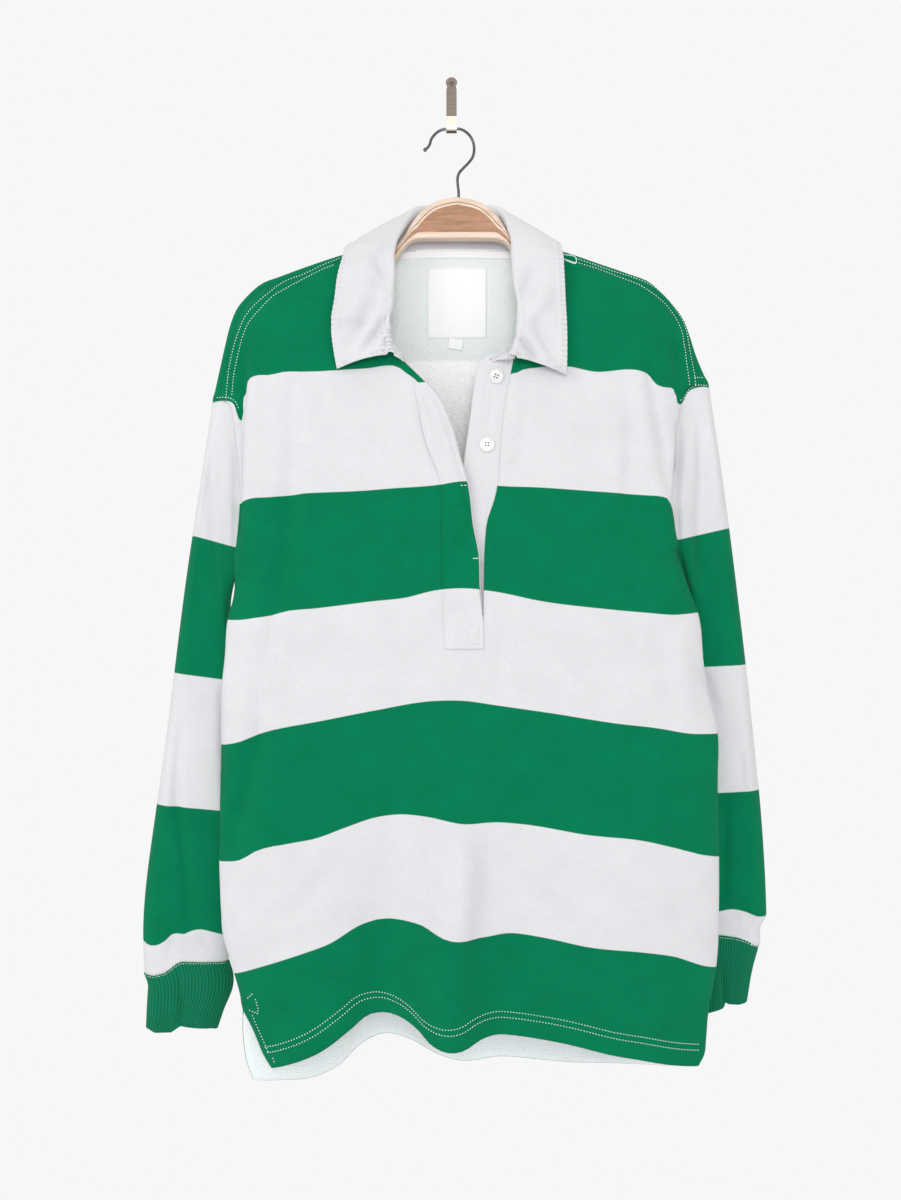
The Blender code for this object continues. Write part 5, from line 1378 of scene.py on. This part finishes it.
BOX = [(-4.5, -520), (27, -520), (27, -543), (-4.5, -543), (-4.5, -520)]
FLY_CREASES = [                   # half width and height in mm, then the path's x, z in mm
    (2.2, -1.9, (-33, -288), (-17, -305), (-4, -334), (5, -368), (11, -388), (17, -432)),
    (4, -1.7, (-27, -300), (-19, -322), (-14, -345)),
    (4, 1.5, (-20, -322), (-12, -350), (-2, -376)),
    (3, -1.3, (-4, -410), (10, -413), (21, -420)),
    (3, -1.3, (-4, -440), (10, -448), (23, -459)),
    (3, 1.1, (-5, -425), (8, -430), (20, -437)),
    (3, -1.7, (-5, -495), (6, -505), (17, -515)),
    (5, 1.6, (-26, -330), (-20, -352), (-10, -378)),
    (6, -1.4, (-2, -455), (4, -470), (14, -488)),
    (1.1, -0.8, *BOX), (1.0, -0.7, BOX[0], BOX[2]), (1.0, -0.7, BOX[1], BOX[3]),
    (1.1, -0.6, *[(x + 3, z) for x, z in FLY_SEAM]),
]
UNDERLAP_CREASES = [
    (2.5, -0.9, (40, -292), (38, -318), (33, -346)),
    (1.2, -0.7, (52, -300), (46, -345), (43, -385)),
    (4, 1.0, (30, -275), (27, -310), (22, -350)),
]
UNDERLAP_EDGE = [(48, -262), (40, -263.5), (33, -266), (28.5, -269), (26.4, -272.4),
                 (22.3, -290.9), (18, -324), (15, -345), (11, -372), (6, -420), (2, -470),
                 (0, -532)]


def fly_depth(x, z):
    """Depth of the fly: on the front, with the creases and stitched-in grooves of its own."""
    return (front_y(x, z) - SEAM - STRIP + ripples(x, z, 0.4)
            - stand_forward(x, z, FLY_CREASES))


def underlap_depth(x, z):
    """Depth of the underlap with its own creases."""
    return underlap_y(x, z) + ripples(x, z, 0.3) - stand_forward(x, z, UNDERLAP_CREASES)


seam_edge, open_edge, far_edge, free_edge = (
    smooth_edge(points) for points in (FLY_SEAM, SLIT[-1], SLIT[1], UNDERLAP_EDGE))
fly_edge = np.vstack((open_edge, (open_edge[-1, 0], STRIPS["fly"][1] * MM)))
fly = strip("placket_fly_jersey", seam_edge, fly_edge, STRIPS["fly"], (300, 48),
            fly_depth, jersey_out, stripes=True)
facing = strip("placket_facing_twill", seam_edge, open_edge + (FACING_LIP * MM, 0.0),
               STRIPS["facing"], (80, 14), lambda x, z: front_y(x, z) + KNIT + SEAM, twill)
underlap = strip("placket_underlap_twill", free_edge, far_edge + (UNDERLAP_TUCK * MM, 0.0),
                 STRIPS["underlap"], (110, 24), underlap_depth, twill)
LABEL_THICK = 0.3 * MM
LABEL_ROOM = 0.12 * MM        # between a label and the knit behind it


def label(name, box, turn=0.0, stand_off=0.0):
    """A thin woven label on the inside of the back, turned by an angle."""
    left, right, top, foot = mm(box)
    x, z = np.meshgrid(np.linspace(left, right, 24), np.linspace(top, foot, 24))
    off_x, off_z = x - (left + right) / 2, z - (top + foot) / 2
    x = (left + right) / 2 + off_x * cos(turn) - off_z * sin(turn)
    z = (top + foot) / 2 + off_x * sin(turn) + off_z * cos(turn)
    y = back_y(z) - KNIT - LABEL_ROOM - LABEL_THICK - stand_off * MM
    return thin_piece(name, x, y, z, LABEL_THICK, label_satin)


neck_label = label("neck_label_blank", LABEL)
size_tag = label("size_tag_blank", SIZE_TAG, radians(-9), 0.9)
neck_line = back_neck()
tape_x, drop = np.meshgrid(np.linspace(TAPE[0] * MM, TAPE[1] * MM, 60),
                           np.linspace(TAPE[2], TAPE[3], 6))
tape_y = np.interp(tape_x, neck_line[:, 0], neck_line[:, 1]) - KNIT - 0.4 * MM - STRIP
tape_z = np.interp(tape_x, neck_line[:, 0], neck_line[:, 2]) - drop * MM
# the tape takes the brighter twill: painted light against the shade in the neck
tape = thin_piece("neck_tape_twill", tape_x, tape_y, tape_z, STRIP, tape_twill)
dress(fly, "placket_fly")
dress(facing, "placket_facing")
dress(underlap, "placket_underlap")
dress(tape, "neck_tape")
dress(neck_label, "neck_label")
dress(size_tag, "size_tag")


# %% [markdown]
# ## Sewing thread
# Topstitching is a row of short lengths of thread that dip into the cloth at both ends. One small
# spindle of thread is repeated along each line, laid on the cloth with its own direction. A line
# is found by walking a set distance in from the edge that it follows.

# %% Rows of stitches
SPINDLE = [(-0.5, 0.25, -0.8), (-0.3, 1.0, 0.1), (0.3, 1.0, 0.1), (0.5, 0.25, -0.8)]
THREAD_SIDES = 6
LIFT = 0.25                   # how far a stitch lies above the cloth, as a share of its radius


def walk_in(columns, distance):
    """For each column of points that starts at an edge, the point a distance along it."""
    return np.array([read_at(distance, run_along(column), column) for column in columns])


def sew(name, lines, tree, pitch, length, radius):
    """Stitches along lines of points, each laid on the nearest cloth; sizes in mm."""
    points, own = [], []
    turns = np.radians(np.arange(THREAD_SIDES) * 360 / THREAD_SIDES)
    for line in lines:
        line = np.asarray(line, float)
        total = np.linalg.norm(np.diff(line, axis=0), axis=1).sum()
        count = int(total / (pitch * MM))
        places = along(line, (np.arange(count) + 0.5) / count)
        ahead = along(line, np.clip((np.arange(count) + 0.6) / count, 0, 1))
        for place, forward in zip(places, ahead):
            spot, out, _, _ = tree.find_nearest(Vector(place))
            out = np.array(out)
            run = forward - place
            run -= out * np.dot(run, out)
            run /= max(np.linalg.norm(run), 1e-9)
            side = np.cross(out, run)
            first = len(points)
            for share, fat, high in SPINDLE:
                rise = high * radius + LIFT * (high > 0) * radius
                middle = np.array(spot) + run * share * length * MM + out * rise * MM
                points += [middle + (side * cos(turn) + out * sin(turn)) * fat * radius * MM
                           for turn in turns]
            own += [tuple(first + k for k in face)
                    for face in grid_faces(len(SPINDLE), THREAD_SIDES, flip=True, closed=True)]
            own.append(tuple(first + k for k in range(THREAD_SIDES)))
            last = first + (len(SPINDLE) - 1) * THREAD_SIDES
            own.append(tuple(last + k for k in range(THREAD_SIDES))[::-1])
    mesh = mesh_of(name, points, own)
    map_weave(mesh, np.array(points)[:, [0, 2]])
    mesh.shade_smooth()
    mesh.materials.append(thread_white)
    thing = put(name, mesh)
    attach(thing, "root")
    print(f"{name}: {len(points) // (len(SPINDLE) * THREAD_SIDES)} stitches")
    return thing


def tree_on(piece):
    """A search tree over a finished piece."""
    return tree_of([v.co for v in piece.data.vertices],
                   [tuple(p.vertices) for p in piece.data.polygons])


skin_tree = tree_of(skin, every_face)


def on_front(places, bend=True):
    """A row of x, z in mm laid on the cloth as seen from the front, bent smoothly or straight."""
    line, places = [], np.array(places, float)
    shares = np.linspace(0, 1, 8 * len(places))
    for x, z in curve(places, shares) if bend else along(places, shares):
        spot = skin_tree.ray_cast(Vector((x * MM, -0.4, z * MM)), Vector((0, 1, 0)))[0]
        if spot is not None:
            line.append(tuple(spot))
    return np.array(line)


SHOULDER_ROWS = [                 # x, z in mm; two rows on each shoulder
    [(-108, -167), (-128, -175), (-144, -183), (-162, -190), (-177, -202), (-190, -213),
     (-200, -225), (-207, -241), (-212, -257), (-216, -276), (-218, -294), (-219, -305)],
    [(-114, -174), (-124, -178), (-141, -187), (-159, -197), (-172, -205), (-185, -218),
     (-196, -231), (-203, -247), (-207, -262), (-211, -282), (-213, -302)],
    [(120, -167), (138, -173), (155, -179), (183, -188), (198, -195), (210, -205), (221, -220),
     (228, -234), (231, -251), (234, -269), (237, -292)],
    [(120, -171), (146, -179), (166, -187), (179, -192), (192, -200), (207, -211), (217, -224),
     (224, -238), (226, -252), (228, -270), (231, -292)],
    [(-104, -164), (-106, -171)],
]
BARTACK = [(109, -163.5), (121, -166.5), (121, -172.5), (109, -168.5), (121, -172.5)]
ARMHOLE_ROWS = [
    [(-229, -303), (-214, -304.5), (-208.5, -309), (-206, -315)],
    [(235, -284), (245, -283.5)],
    [(249, -291), (236, -292), (231, -295), (228, -299), (224.4, -304.6), (221.2, -307)],
]
VENT_ROWS_SEWN = [
    [(-193.3, -876.8), (-187.3, -870.5)],
    [(-185.2, -875.1), (-182.2, -884.3), (-182.7, -889.8), (-192, -887.4)],
    [(-182.7, -889.8), (-184.5, -888.0)],
    [(-188.6, -891.1), (-172.5, -926.5)], [(-168.4, -929.9), (-166.5, -935.5)],
]
BODY_STITCH = (2.8, 1.4, 0.37)            # pitch, length and radius of a stitch, in mm
HEM_ROWS, VENT_ROW = (16 * MM, 21.5 * MM), 9 * MM     # how far in from the edge
shoulder_thread = sew("shoulder_topstitch", [on_front(row) for row in SHOULDER_ROWS], skin_tree,
                      *BODY_STITCH)
sew("shoulder_bartack", [on_front(BARTACK)], skin_tree, 1.0, 1.2, 0.4)
armhole_thread = sew("armhole_topstitch", [on_front(row) for row in ARMHOLE_ROWS], skin_tree,
                     *BODY_STITCH)
hem_lines = [walk_in([grid[::-1, j] for j in range(4, grid.shape[1] - 4)], distance)
             for grid in (low, lower) for distance in HEM_ROWS]
hem_thread = sew("hem_topstitch", hem_lines, skin_tree, *BODY_STITCH)
vent_lines = [on_front(row, bend=False) for row in VENT_ROWS_SEWN]
vent_lines += [walk_in(lower[-VENT_ROWS - 2:-4, ::flip], VENT_ROW) for flip in (1, -1)]
vent_thread = sew("vent_topstitch", vent_lines, skin_tree, *BODY_STITCH)
cuff_threads = [sew(piece.name + "_topstitch", [line], tree_on(piece), 2.6, 1.3, 0.25)
                for piece, line in zip((cuff_right, cuff_left), cuff_lines)]
shaped = collar_flat.reshape(collar_grid.shape)
collar_lines = [walk_in(shaped[3:-3, ::-1], COLLAR_ROW)]
collar_lines += [walk_in([shaped[::flip, j] for j in range(STAND_ROWS + 10, shaped.shape[1] - 4)],
                         COLLAR_ROW) for flip in (1, -1)]
collar_thread = sew("collar_topstitch", collar_lines, tree_of(collar_flat, collar_faces),
                    2.6, 1.8, 0.24)


def fly_line(points):
    """A row of x, z in mm laid on the fly."""
    x, z = mm(points).T
    return np.stack((x, front_y(x, z) - SEAM - STRIP, z), axis=1)


fly_tree = tree_on(fly)
fly_runs = [fly_line(BOX), fly_line([BOX[0], BOX[2]]), fly_line([BOX[1], BOX[3]])]
fly_thread = sew("placket_topstitch", fly_runs, fly_tree, 2.4, 1.4, 0.16)
tack_lines = [fly_line([(x, z), (x + 5, z)]) for x, z in ((9, -390.8), (20.3, -460.6))]
sew("placket_bartacks", tack_lines, fly_tree, 1.0, 1.3, 0.42)
tape_grid = np.stack((tape_x, tape_y, tape_z), axis=2)
tape_tree = tree_of(tape_grid.reshape(-1, 3), grid_faces(*tape_x.shape, flip=True))
sew("neck_tape_stitches", [tape_grid[-2]], tape_tree, 2.6, 1.4, 0.22)

# %% [markdown]
# ## Buttons
# A shirt button is turned from a disc: a raised rim, a dished middle and four holes. We start
# from a cylinder, set its top face in, push it down, round the rim with a bevel and cut the holes
# with four thin cylinders.

# %% Buttons
RIM_WIDTH, RIM_SLOPE, DISH_DEEP, RIM_BEVEL = 1.1 * MM, 0.5 * MM, 0.45 * MM, 0.35 * MM
TURNS = {"button_top": radians(-24), "button_low": radians(-4)}     # how each one was sewn on


def alone(thing):
    """Selects one object only and makes it the active one."""
    bpy.ops.object.select_all(action="DESELECT")
    thing.select_set(True)
    bpy.context.view_layer.objects.active = thing


def pick(thing, kind, test):
    """In edit mode, selects only the faces or the edges that pass a test."""
    bpy.ops.mesh.select_mode(type=kind)
    bpy.ops.mesh.select_all(action="DESELECT")
    mesh = bmesh.from_edit_mesh(thing.data)
    for part in mesh.faces if kind == "FACE" else mesh.edges:
        part.select = bool(test(part))
    mesh.select_flush_mode()
    bmesh.update_edit_mesh(thing.data)


def settle(thing):
    """Puts the object's place and turn into its mesh."""
    alone(thing)
    bpy.ops.object.transform_apply(location=True, rotation=True, scale=True)


# Polyester tumbled smooth has a sharp highlight along its rim. Its holes get a dark grey that is
# painted shade, for the little light that gets into them.
button_stuff, tree, shader = finish_of("polished_white_polyester", 0.22, Coat_Weight=0.3)
place = add(tree, "ShaderNodeTexCoord").outputs["Object"]
pearl = add(tree, "ShaderNodeTexNoise", {"Vector": place}, {"Scale": 220.0, "Detail": 2.0})
paint(tree, shader, two_tones(tree, pearl.outputs["Fac"], "#D2D2D1", "#DEDEDD"))
hole_shade = finish_of("painted_shade_in_the_holes", 0.6, Base_Color=colour("#565856"))[0]


def button(name, x, z, node, turn):
    """One button, turned, drilled and laid on the underlap facing the way the cloth does."""
    bpy.ops.mesh.primitive_cylinder_add(vertices=48, radius=BUTTON_RADIUS, depth=BUTTON_THICK,
                                        location=(0, 0, BUTTON_THICK / 2))
    thing = bpy.context.object
    thing.name = name
    thing.data.materials.append(button_stuff)
    thing.data.materials.append(hole_shade)
    bpy.ops.object.mode_set(mode="EDIT")
    pick(thing, "FACE", lambda face: face.normal.z > 0.9)
    bpy.ops.mesh.inset(thickness=RIM_WIDTH)
    bpy.ops.mesh.inset(thickness=RIM_SLOPE)
    bpy.ops.transform.translate(value=(0, 0, -DISH_DEEP))
    pick(thing, "EDGE", lambda edge: len(edge.link_faces) == 2
         and edge.calc_face_angle(0) > radians(30))
    bpy.ops.mesh.bevel(offset=RIM_BEVEL, segments=3)
    bpy.ops.object.mode_set(mode="OBJECT")
    for k in range(4):
        angle = pi / 4 + k * pi / 2 + turn
        bpy.ops.mesh.primitive_cylinder_add(
            vertices=16, radius=BUTTON_HOLE, depth=4 * BUTTON_THICK,
            location=(HOLE_RADIUS * cos(angle), HOLE_RADIUS * sin(angle), 0))
        drill = bpy.context.object
        drill.data.materials.append(hole_shade)
        alone(thing)
        cut = thing.modifiers.new("hole", "BOOLEAN")
        cut.object, cut.operation, cut.solver = drill, "DIFFERENCE", "EXACT"
        bpy.ops.object.modifier_apply(modifier=cut.name)
        bpy.data.objects.remove(drill)
    bpy.ops.object.shade_smooth_by_angle(angle=radians(35))
    x, z, step = x * MM, z * MM, 3 * MM
    seat, right, left, up, down = (
        float(underlap_y(np.array(x + dx), np.array(z + dz)))
        for dx, dz in ((0, 0), (step, 0), (-step, 0), (0, step), (0, -step)))
    way = Vector(((right - left) / (2 * step), -1.0, (up - down) / (2 * step)))
    way.normalize()
    thing.rotation_euler = way.to_track_quat("Z", "Y").to_euler()
    thing.location = Vector((x, seat, z)) + way * BUTTON_STAND
    settle(thing)
    dress(thing, node)
    return thing


buttons = [button(f"{node}_polished", x, z, node, TURNS[node]) for node, (x, z) in BUTTONS.items()]

# %% [markdown]
# ## The hanger
# The hanger is sawn from a flat board. Its front shows a stained face inside a pale rim, with a
# fine routed line between them. We lay the board's face out as a ladder of strips that follow its
# outline: rim, groove, a second pale line, the stained face and the pale line below. Then we give
# it its thickness, round its edges with a bevel and press the floor of the groove in.

# %% Wood finishes
def wood(name, dark, light, grain_mm, roughness):
    """Varnished wood: grain drawn out along the board, with fine pores in it."""
    made, tree, shader = finish_of(name, roughness, Coat_Weight=0.25, Coat_Roughness=0.25)
    place = add(tree, "ShaderNodeTexCoord").outputs["Object"]
    long = add(tree, "ShaderNodeMapping", {"Vector": place}, {"Scale": (0.09, 1.0, 1.0)})
    grain = add(tree, "ShaderNodeTexNoise", {"Vector": long.outputs["Vector"]},
                {"Scale": 1 / (grain_mm * MM), "Detail": 6.0, "Roughness": 0.65, "Distortion": 0.6})
    pores = add(tree, "ShaderNodeTexNoise", {"Vector": long.outputs["Vector"]},
                {"Scale": 4 / (grain_mm * MM), "Detail": 2.0})
    mix = add(tree, "ShaderNodeMath", {0: pores.outputs["Fac"], 2: grain.outputs["Fac"]},
              {1: 0.25}, operation="MULTIPLY_ADD")
    spread = add(tree, "ShaderNodeMapRange", {"Value": mix.outputs[0]},
                 {"From Min": 0.42, "From Max": 0.82})
    paint(tree, shader, two_tones(tree, spread.outputs["Result"], dark, light))
    relief(tree, shader, grain.outputs["Fac"], 0.08)
    return made


# Stained, varnished beech is red brown with a soft gloss; left bare at the rim, it is pale and
# its grain hardly shows. The groove is a darker brown than the face, which draws a dark line there.
stained_face = wood("stained_beech_face", "#80522F", "#B27E55", 3.0, 0.42)
pale_rim = wood("bare_beech_rim", "#C8AC94", "#E3CDB9", 4.0, 0.5)
groove_darkened = wood("darker_wood_in_the_groove", "#5A3622", "#7A4E33", 3.0, 0.5)


# %% The wooden shoulders
def ridge_height(side, x):
    """The height of the cloth's ridge over a place on the hanger's arm."""
    line = shoulder(side, 1 - side_fractions(SHOULDER_COLUMNS), 0)
    order = np.argsort(line[:, 0])
    return float(np.interp(x, line[order, 0], line[order, 2]))


def hanger_stations(side):
    """Across one half of the hanger, from the middle out: reach, top z and foot z."""
    rows = list(mm(HANGER_HUMP))
    for reach, clear, deep in HANGER_ARM:
        top = ridge_height(side, HANGER_X + side * reach * MM) - KNIT - clear * MM
        rows.append((reach * MM, top, top - deep * MM))
    reach, top, foot = rows[-1]
    for along_end, inset in HANGER_END:
        drop = HANGER_SLOPE * along_end
        rows.append((reach + along_end * MM, top - (drop + inset) * MM, foot - (drop - inset) * MM))
    return curve(np.array(rows), np.linspace(0, 1, 46))


FROM_TOP = (0, 4.8, 5.0, 5.5, 5.7, 7.9)     # strips of the face, in from the top and the foot
FROM_FOOT = (6.2, 0)
STRIP_FINISH = (0, 1, 0, 2, 3, 2, 0)        # upwards from the foot: rim, face, wall and floor
FULL_FACE = 14.1                            # height in mm that the strips need in all
BOARD_BEVEL, GROOVE_DEEP = 1.9 * MM, 0.5 * MM
board = np.vstack((hanger_stations(-1)[::-1] * (-1, 1, 1), hanger_stations(1)[1:]))
slope_top, slope_foot = (np.gradient(board[:, k], board[:, 0]) for k in (1, 2))
bpy.ops.mesh.primitive_grid_add(x_subdivisions=len(board) - 1,
                                y_subdivisions=len(STRIP_FINISH), size=1)
hanger = bpy.context.object
hanger.name = "hanger_shoulders"
for finish in (pale_rim, stained_face, groove_darkened, groove_darkened):
    hanger.data.materials.append(finish)
order = sorted(hanger.data.vertices, key=lambda v: (round(v.co.x, 5), v.co.y))
row_of = {}
rungs = len(STRIP_FINISH) + 1
for k, (reach, top, foot) in enumerate(board):
    lean = max(np.hypot(1, slope_top[k]), np.hypot(1, slope_foot[k]))
    room = min(1.0, ((top - foot) / MM / lean - 1.0) / FULL_FACE)
    downs = [top - d * MM * room * np.hypot(1, slope_top[k]) for d in FROM_TOP]
    ups = [foot + d * MM * room * np.hypot(1, slope_foot[k]) for d in FROM_FOOT]
    for n, z in enumerate((downs + ups)[::-1]):
        vertex = order[k * rungs + n]
        vertex.co = (HANGER_X + reach, RIDGE_Y + WOOD_THICK / 2, z)
        row_of[vertex.index] = n
for face in hanger.data.polygons:
    face.material_index = STRIP_FINISH[min(row_of[k] for k in face.vertices)]
bpy.ops.object.mode_set(mode="EDIT")
bpy.ops.mesh.select_all(action="SELECT")
bpy.ops.mesh.extrude_region_move(TRANSFORM_OT_translate={"value": (0, -WOOD_THICK, 0)})
bpy.ops.mesh.select_all(action="SELECT")
bpy.ops.mesh.normals_make_consistent(inside=False)
pick(hanger, "EDGE", lambda edge: edge.calc_face_angle(0) > radians(60))
bpy.ops.mesh.bevel(offset=BOARD_BEVEL, segments=5)
bpy.ops.object.mode_set(mode="OBJECT")
groove_floor = {p.index for p in hanger.data.polygons if p.material_index == 3}
bpy.ops.object.mode_set(mode="EDIT")
for way in (-1, 1):
    bpy.ops.mesh.select_all(action="DESELECT")
    mesh = bmesh.from_edit_mesh(hanger.data)
    for face in mesh.faces:
        face.select = face.index in groove_floor and face.normal.y * way > 0.99
    bmesh.update_edit_mesh(hanger.data)
    bpy.ops.transform.translate(value=(0, -way * GROOVE_DEEP, 0))
bpy.ops.object.mode_set(mode="OBJECT")
for face in hanger.data.polygons:
    if abs(face.normal.y) < 0.7:
        face.material_index = 0
alone(hanger)
bpy.ops.object.shade_smooth_by_angle(angle=radians(40))
settle(hanger)
dress(hanger, "hanger_wood")
print("hanger:", len(hanger.data.polygons), "faces")

# %% [markdown]
# ## Wire hook and wall hook
# The hanger's hook is plated steel wire, bent on a former: a curve with a round section, which we
# turn into a mesh, and a small ball on its tip. The wall hook is a stamped strip. Its solid has
# the right shape already, so it only gets its finish and the nail through its lobed top.

# %% Metal finishes
def metal(name, dark, light, roughness, lines_mm):
    """Steel with faint streaks along it."""
    made, tree, shader = finish_of(name, roughness, Metallic=1.0)
    place = add(tree, "ShaderNodeTexCoord").outputs["Object"]
    streak = add(tree, "ShaderNodeMapping", {"Vector": place}, {"Scale": (0.06, 1.0, 1.0)})
    grain = add(tree, "ShaderNodeTexNoise", {"Vector": streak.outputs["Vector"]},
                {"Scale": 1 / (lines_mm * MM), "Detail": 4.0})
    paint(tree, shader, two_tones(tree, grain.outputs["Fac"], dark, light))
    relief(tree, shader, grain.outputs["Fac"], 0.05)
    return made


# Smooth plating mirrors the room in dark grey. The rolled strip is a dull brown grey, with a
# painted highlight, nearly white, on the lip's front and painted shade on its underside.
plated_wire = metal("plated_steel_wire", "#3F3F44", "#7B7B80", 0.28, 1.2)
stamped_strip = metal("stamped_steel_strip", "#5C5348", "#8F8578", 0.38, 0.9)
painted_lip_highlight = metal("steel_lip_painted_highlight", "#CFC9B8", "#E2DCCB", 0.25, 0.9)
painted_underlip_shade = metal("painted_shade_under_the_lip", "#453B32", "#7E7062", 0.45, 0.9)


# %% Wire hook
WIRE_PATH = [(-26, -55.6), (-23.6, -53.4), (-21.7, -50.5), (-19.9, -44.6), (-16.3, -39.4),
             (-11, -35.4), (-5.8, -33.9), (2, -33.6), (9.3, -34.2), (16.3, -38.8),
             (20.8, -46), (22.4, -55), (20.8, -63.4), (16.3, -69.8), (11.1, -75.4), (7.4, -80),
             (6, -85), (6.2, -92), (7, -100), (7, -106)]       # x, z in mm
route = curve(mm(WIRE_PATH), np.linspace(0, 1, 120))
lean = (route[:, 1].max() - route[:, 1]) / (route[:, 1].max() - route[-1, 1])
wire_line = at_depth(route, HOOK_Y + (RIDGE_Y - HOOK_Y) * lean)
path = bpy.data.curves.new("wire_path", "CURVE")
path.dimensions = "3D"
spline = path.splines.new("POLY")
spline.points.add(len(wire_line) - 1)
for point, spot in zip(spline.points, wire_line):
    point.co = (*spot, 1)
path.bevel_depth = WIRE_RADIUS
path.bevel_resolution = 5
path.use_fill_caps = True
alone(put("hanger_hook_wire", path))
bpy.ops.object.convert(target="MESH")
wire = bpy.context.object
bpy.ops.mesh.primitive_uv_sphere_add(segments=20, ring_count=12, radius=WIRE_BALL,
                                     location=tuple(wire_line[0]))
wire.select_set(True)                 # the ball is still selected, so it's joined to the wire
bpy.context.view_layer.objects.active = wire
bpy.ops.object.join()
bpy.ops.object.shade_smooth_by_angle(angle=radians(50))
settle(wire)
wire.data.materials.clear()
wire.data.materials.append(plated_wire)
dress(wire, "hanger_wire")

# %% Wall hook and its nail
wall_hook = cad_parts["wall_hook"]
wall_hook.data.materials.clear()
for finish in (stamped_strip, painted_lip_highlight, painted_underlip_shade):
    wall_hook.data.materials.append(finish)
for face in wall_hook.data.polygons:
    middle, way = wall_hook.matrix_world @ face.center, face.normal
    if middle.y < HOOK_Y - 3.5 * MM and way.y < -0.8:
        face.material_index = 1       # the lip's front: a painted highlight
    elif middle.y < HOOK_Y and way.z < -0.3:
        face.material_index = 2       # and its underside: painted shade
bpy.ops.mesh.primitive_uv_sphere_add(segments=24, ring_count=12, radius=2.1 * MM,
                                     location=(0, -HOOK_THICK, 18.5 * MM))
nail = bpy.context.object
nail.name = "wall_hook_nail"
nail.scale = (1, 0.45, 1)
bpy.ops.object.shade_smooth()
settle(nail)
nail.data.materials.append(plated_wire)
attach(nail, "root")


# %% [markdown]
# ## What each piece of cloth was cut from
# A sleeve and a cuff are tubes, so their width is all the way round. The area is not a measured
# one. It is read off the cloth built above, held between 0.3 and 1 times width by length, so where
# it is less than width by length it can't tell whether that cloth was stretched.

# %% Flat sizes
def skin_area(thing):
    """About half of a closed wall's area: one side of the cloth."""
    return sum(p.area for p in thing.data.polygons) / 2


sheets = [
    (front, (0.47, 0.76), "hung", ["hanger_shoulders"], [hem_thread, vent_thread, armhole_thread]),
    (back, (0.49, 0.80), "hung", ["hanger_shoulders"], [shoulder_thread]),
    (sleeve_right, (0.19, 0.57), "hung", ["front_jersey"], []),
    (sleeve_left, (0.18, 0.56), "hung", ["front_jersey"], []),
    (cuff_right, (0.17, 0.07), "hung", ["sleeve_right_jersey"], [cuff_threads[0]]),
    (cuff_left, (0.15, 0.065), "hung", ["sleeve_left_jersey"], [cuff_threads[1]]),
    (collar, (0.43, 0.085), "folded", ["hanger_shoulders"], [collar_thread]),
    (fly, (0.031, 0.265), "hung", ["front_jersey"], [fly_thread]),
    (facing, (0.033, 0.22), "hung", ["front_jersey"], []),
    (underlap, (0.04, 0.26), "hung", ["front_jersey"], buttons),
    (tape, (0.104, 0.01), "hung", ["back_jersey"], []),
    (neck_label, (0.059, 0.07), "hung", ["back_jersey"], []),
    (size_tag, (0.014, 0.0104), "hung", ["back_jersey"], []),
]
for thing, flat, held, rests_on, with_pieces in sheets:
    print(thing.name, "area", round(skin_area(thing), 4), "flat", round(flat[0] * flat[1], 4))
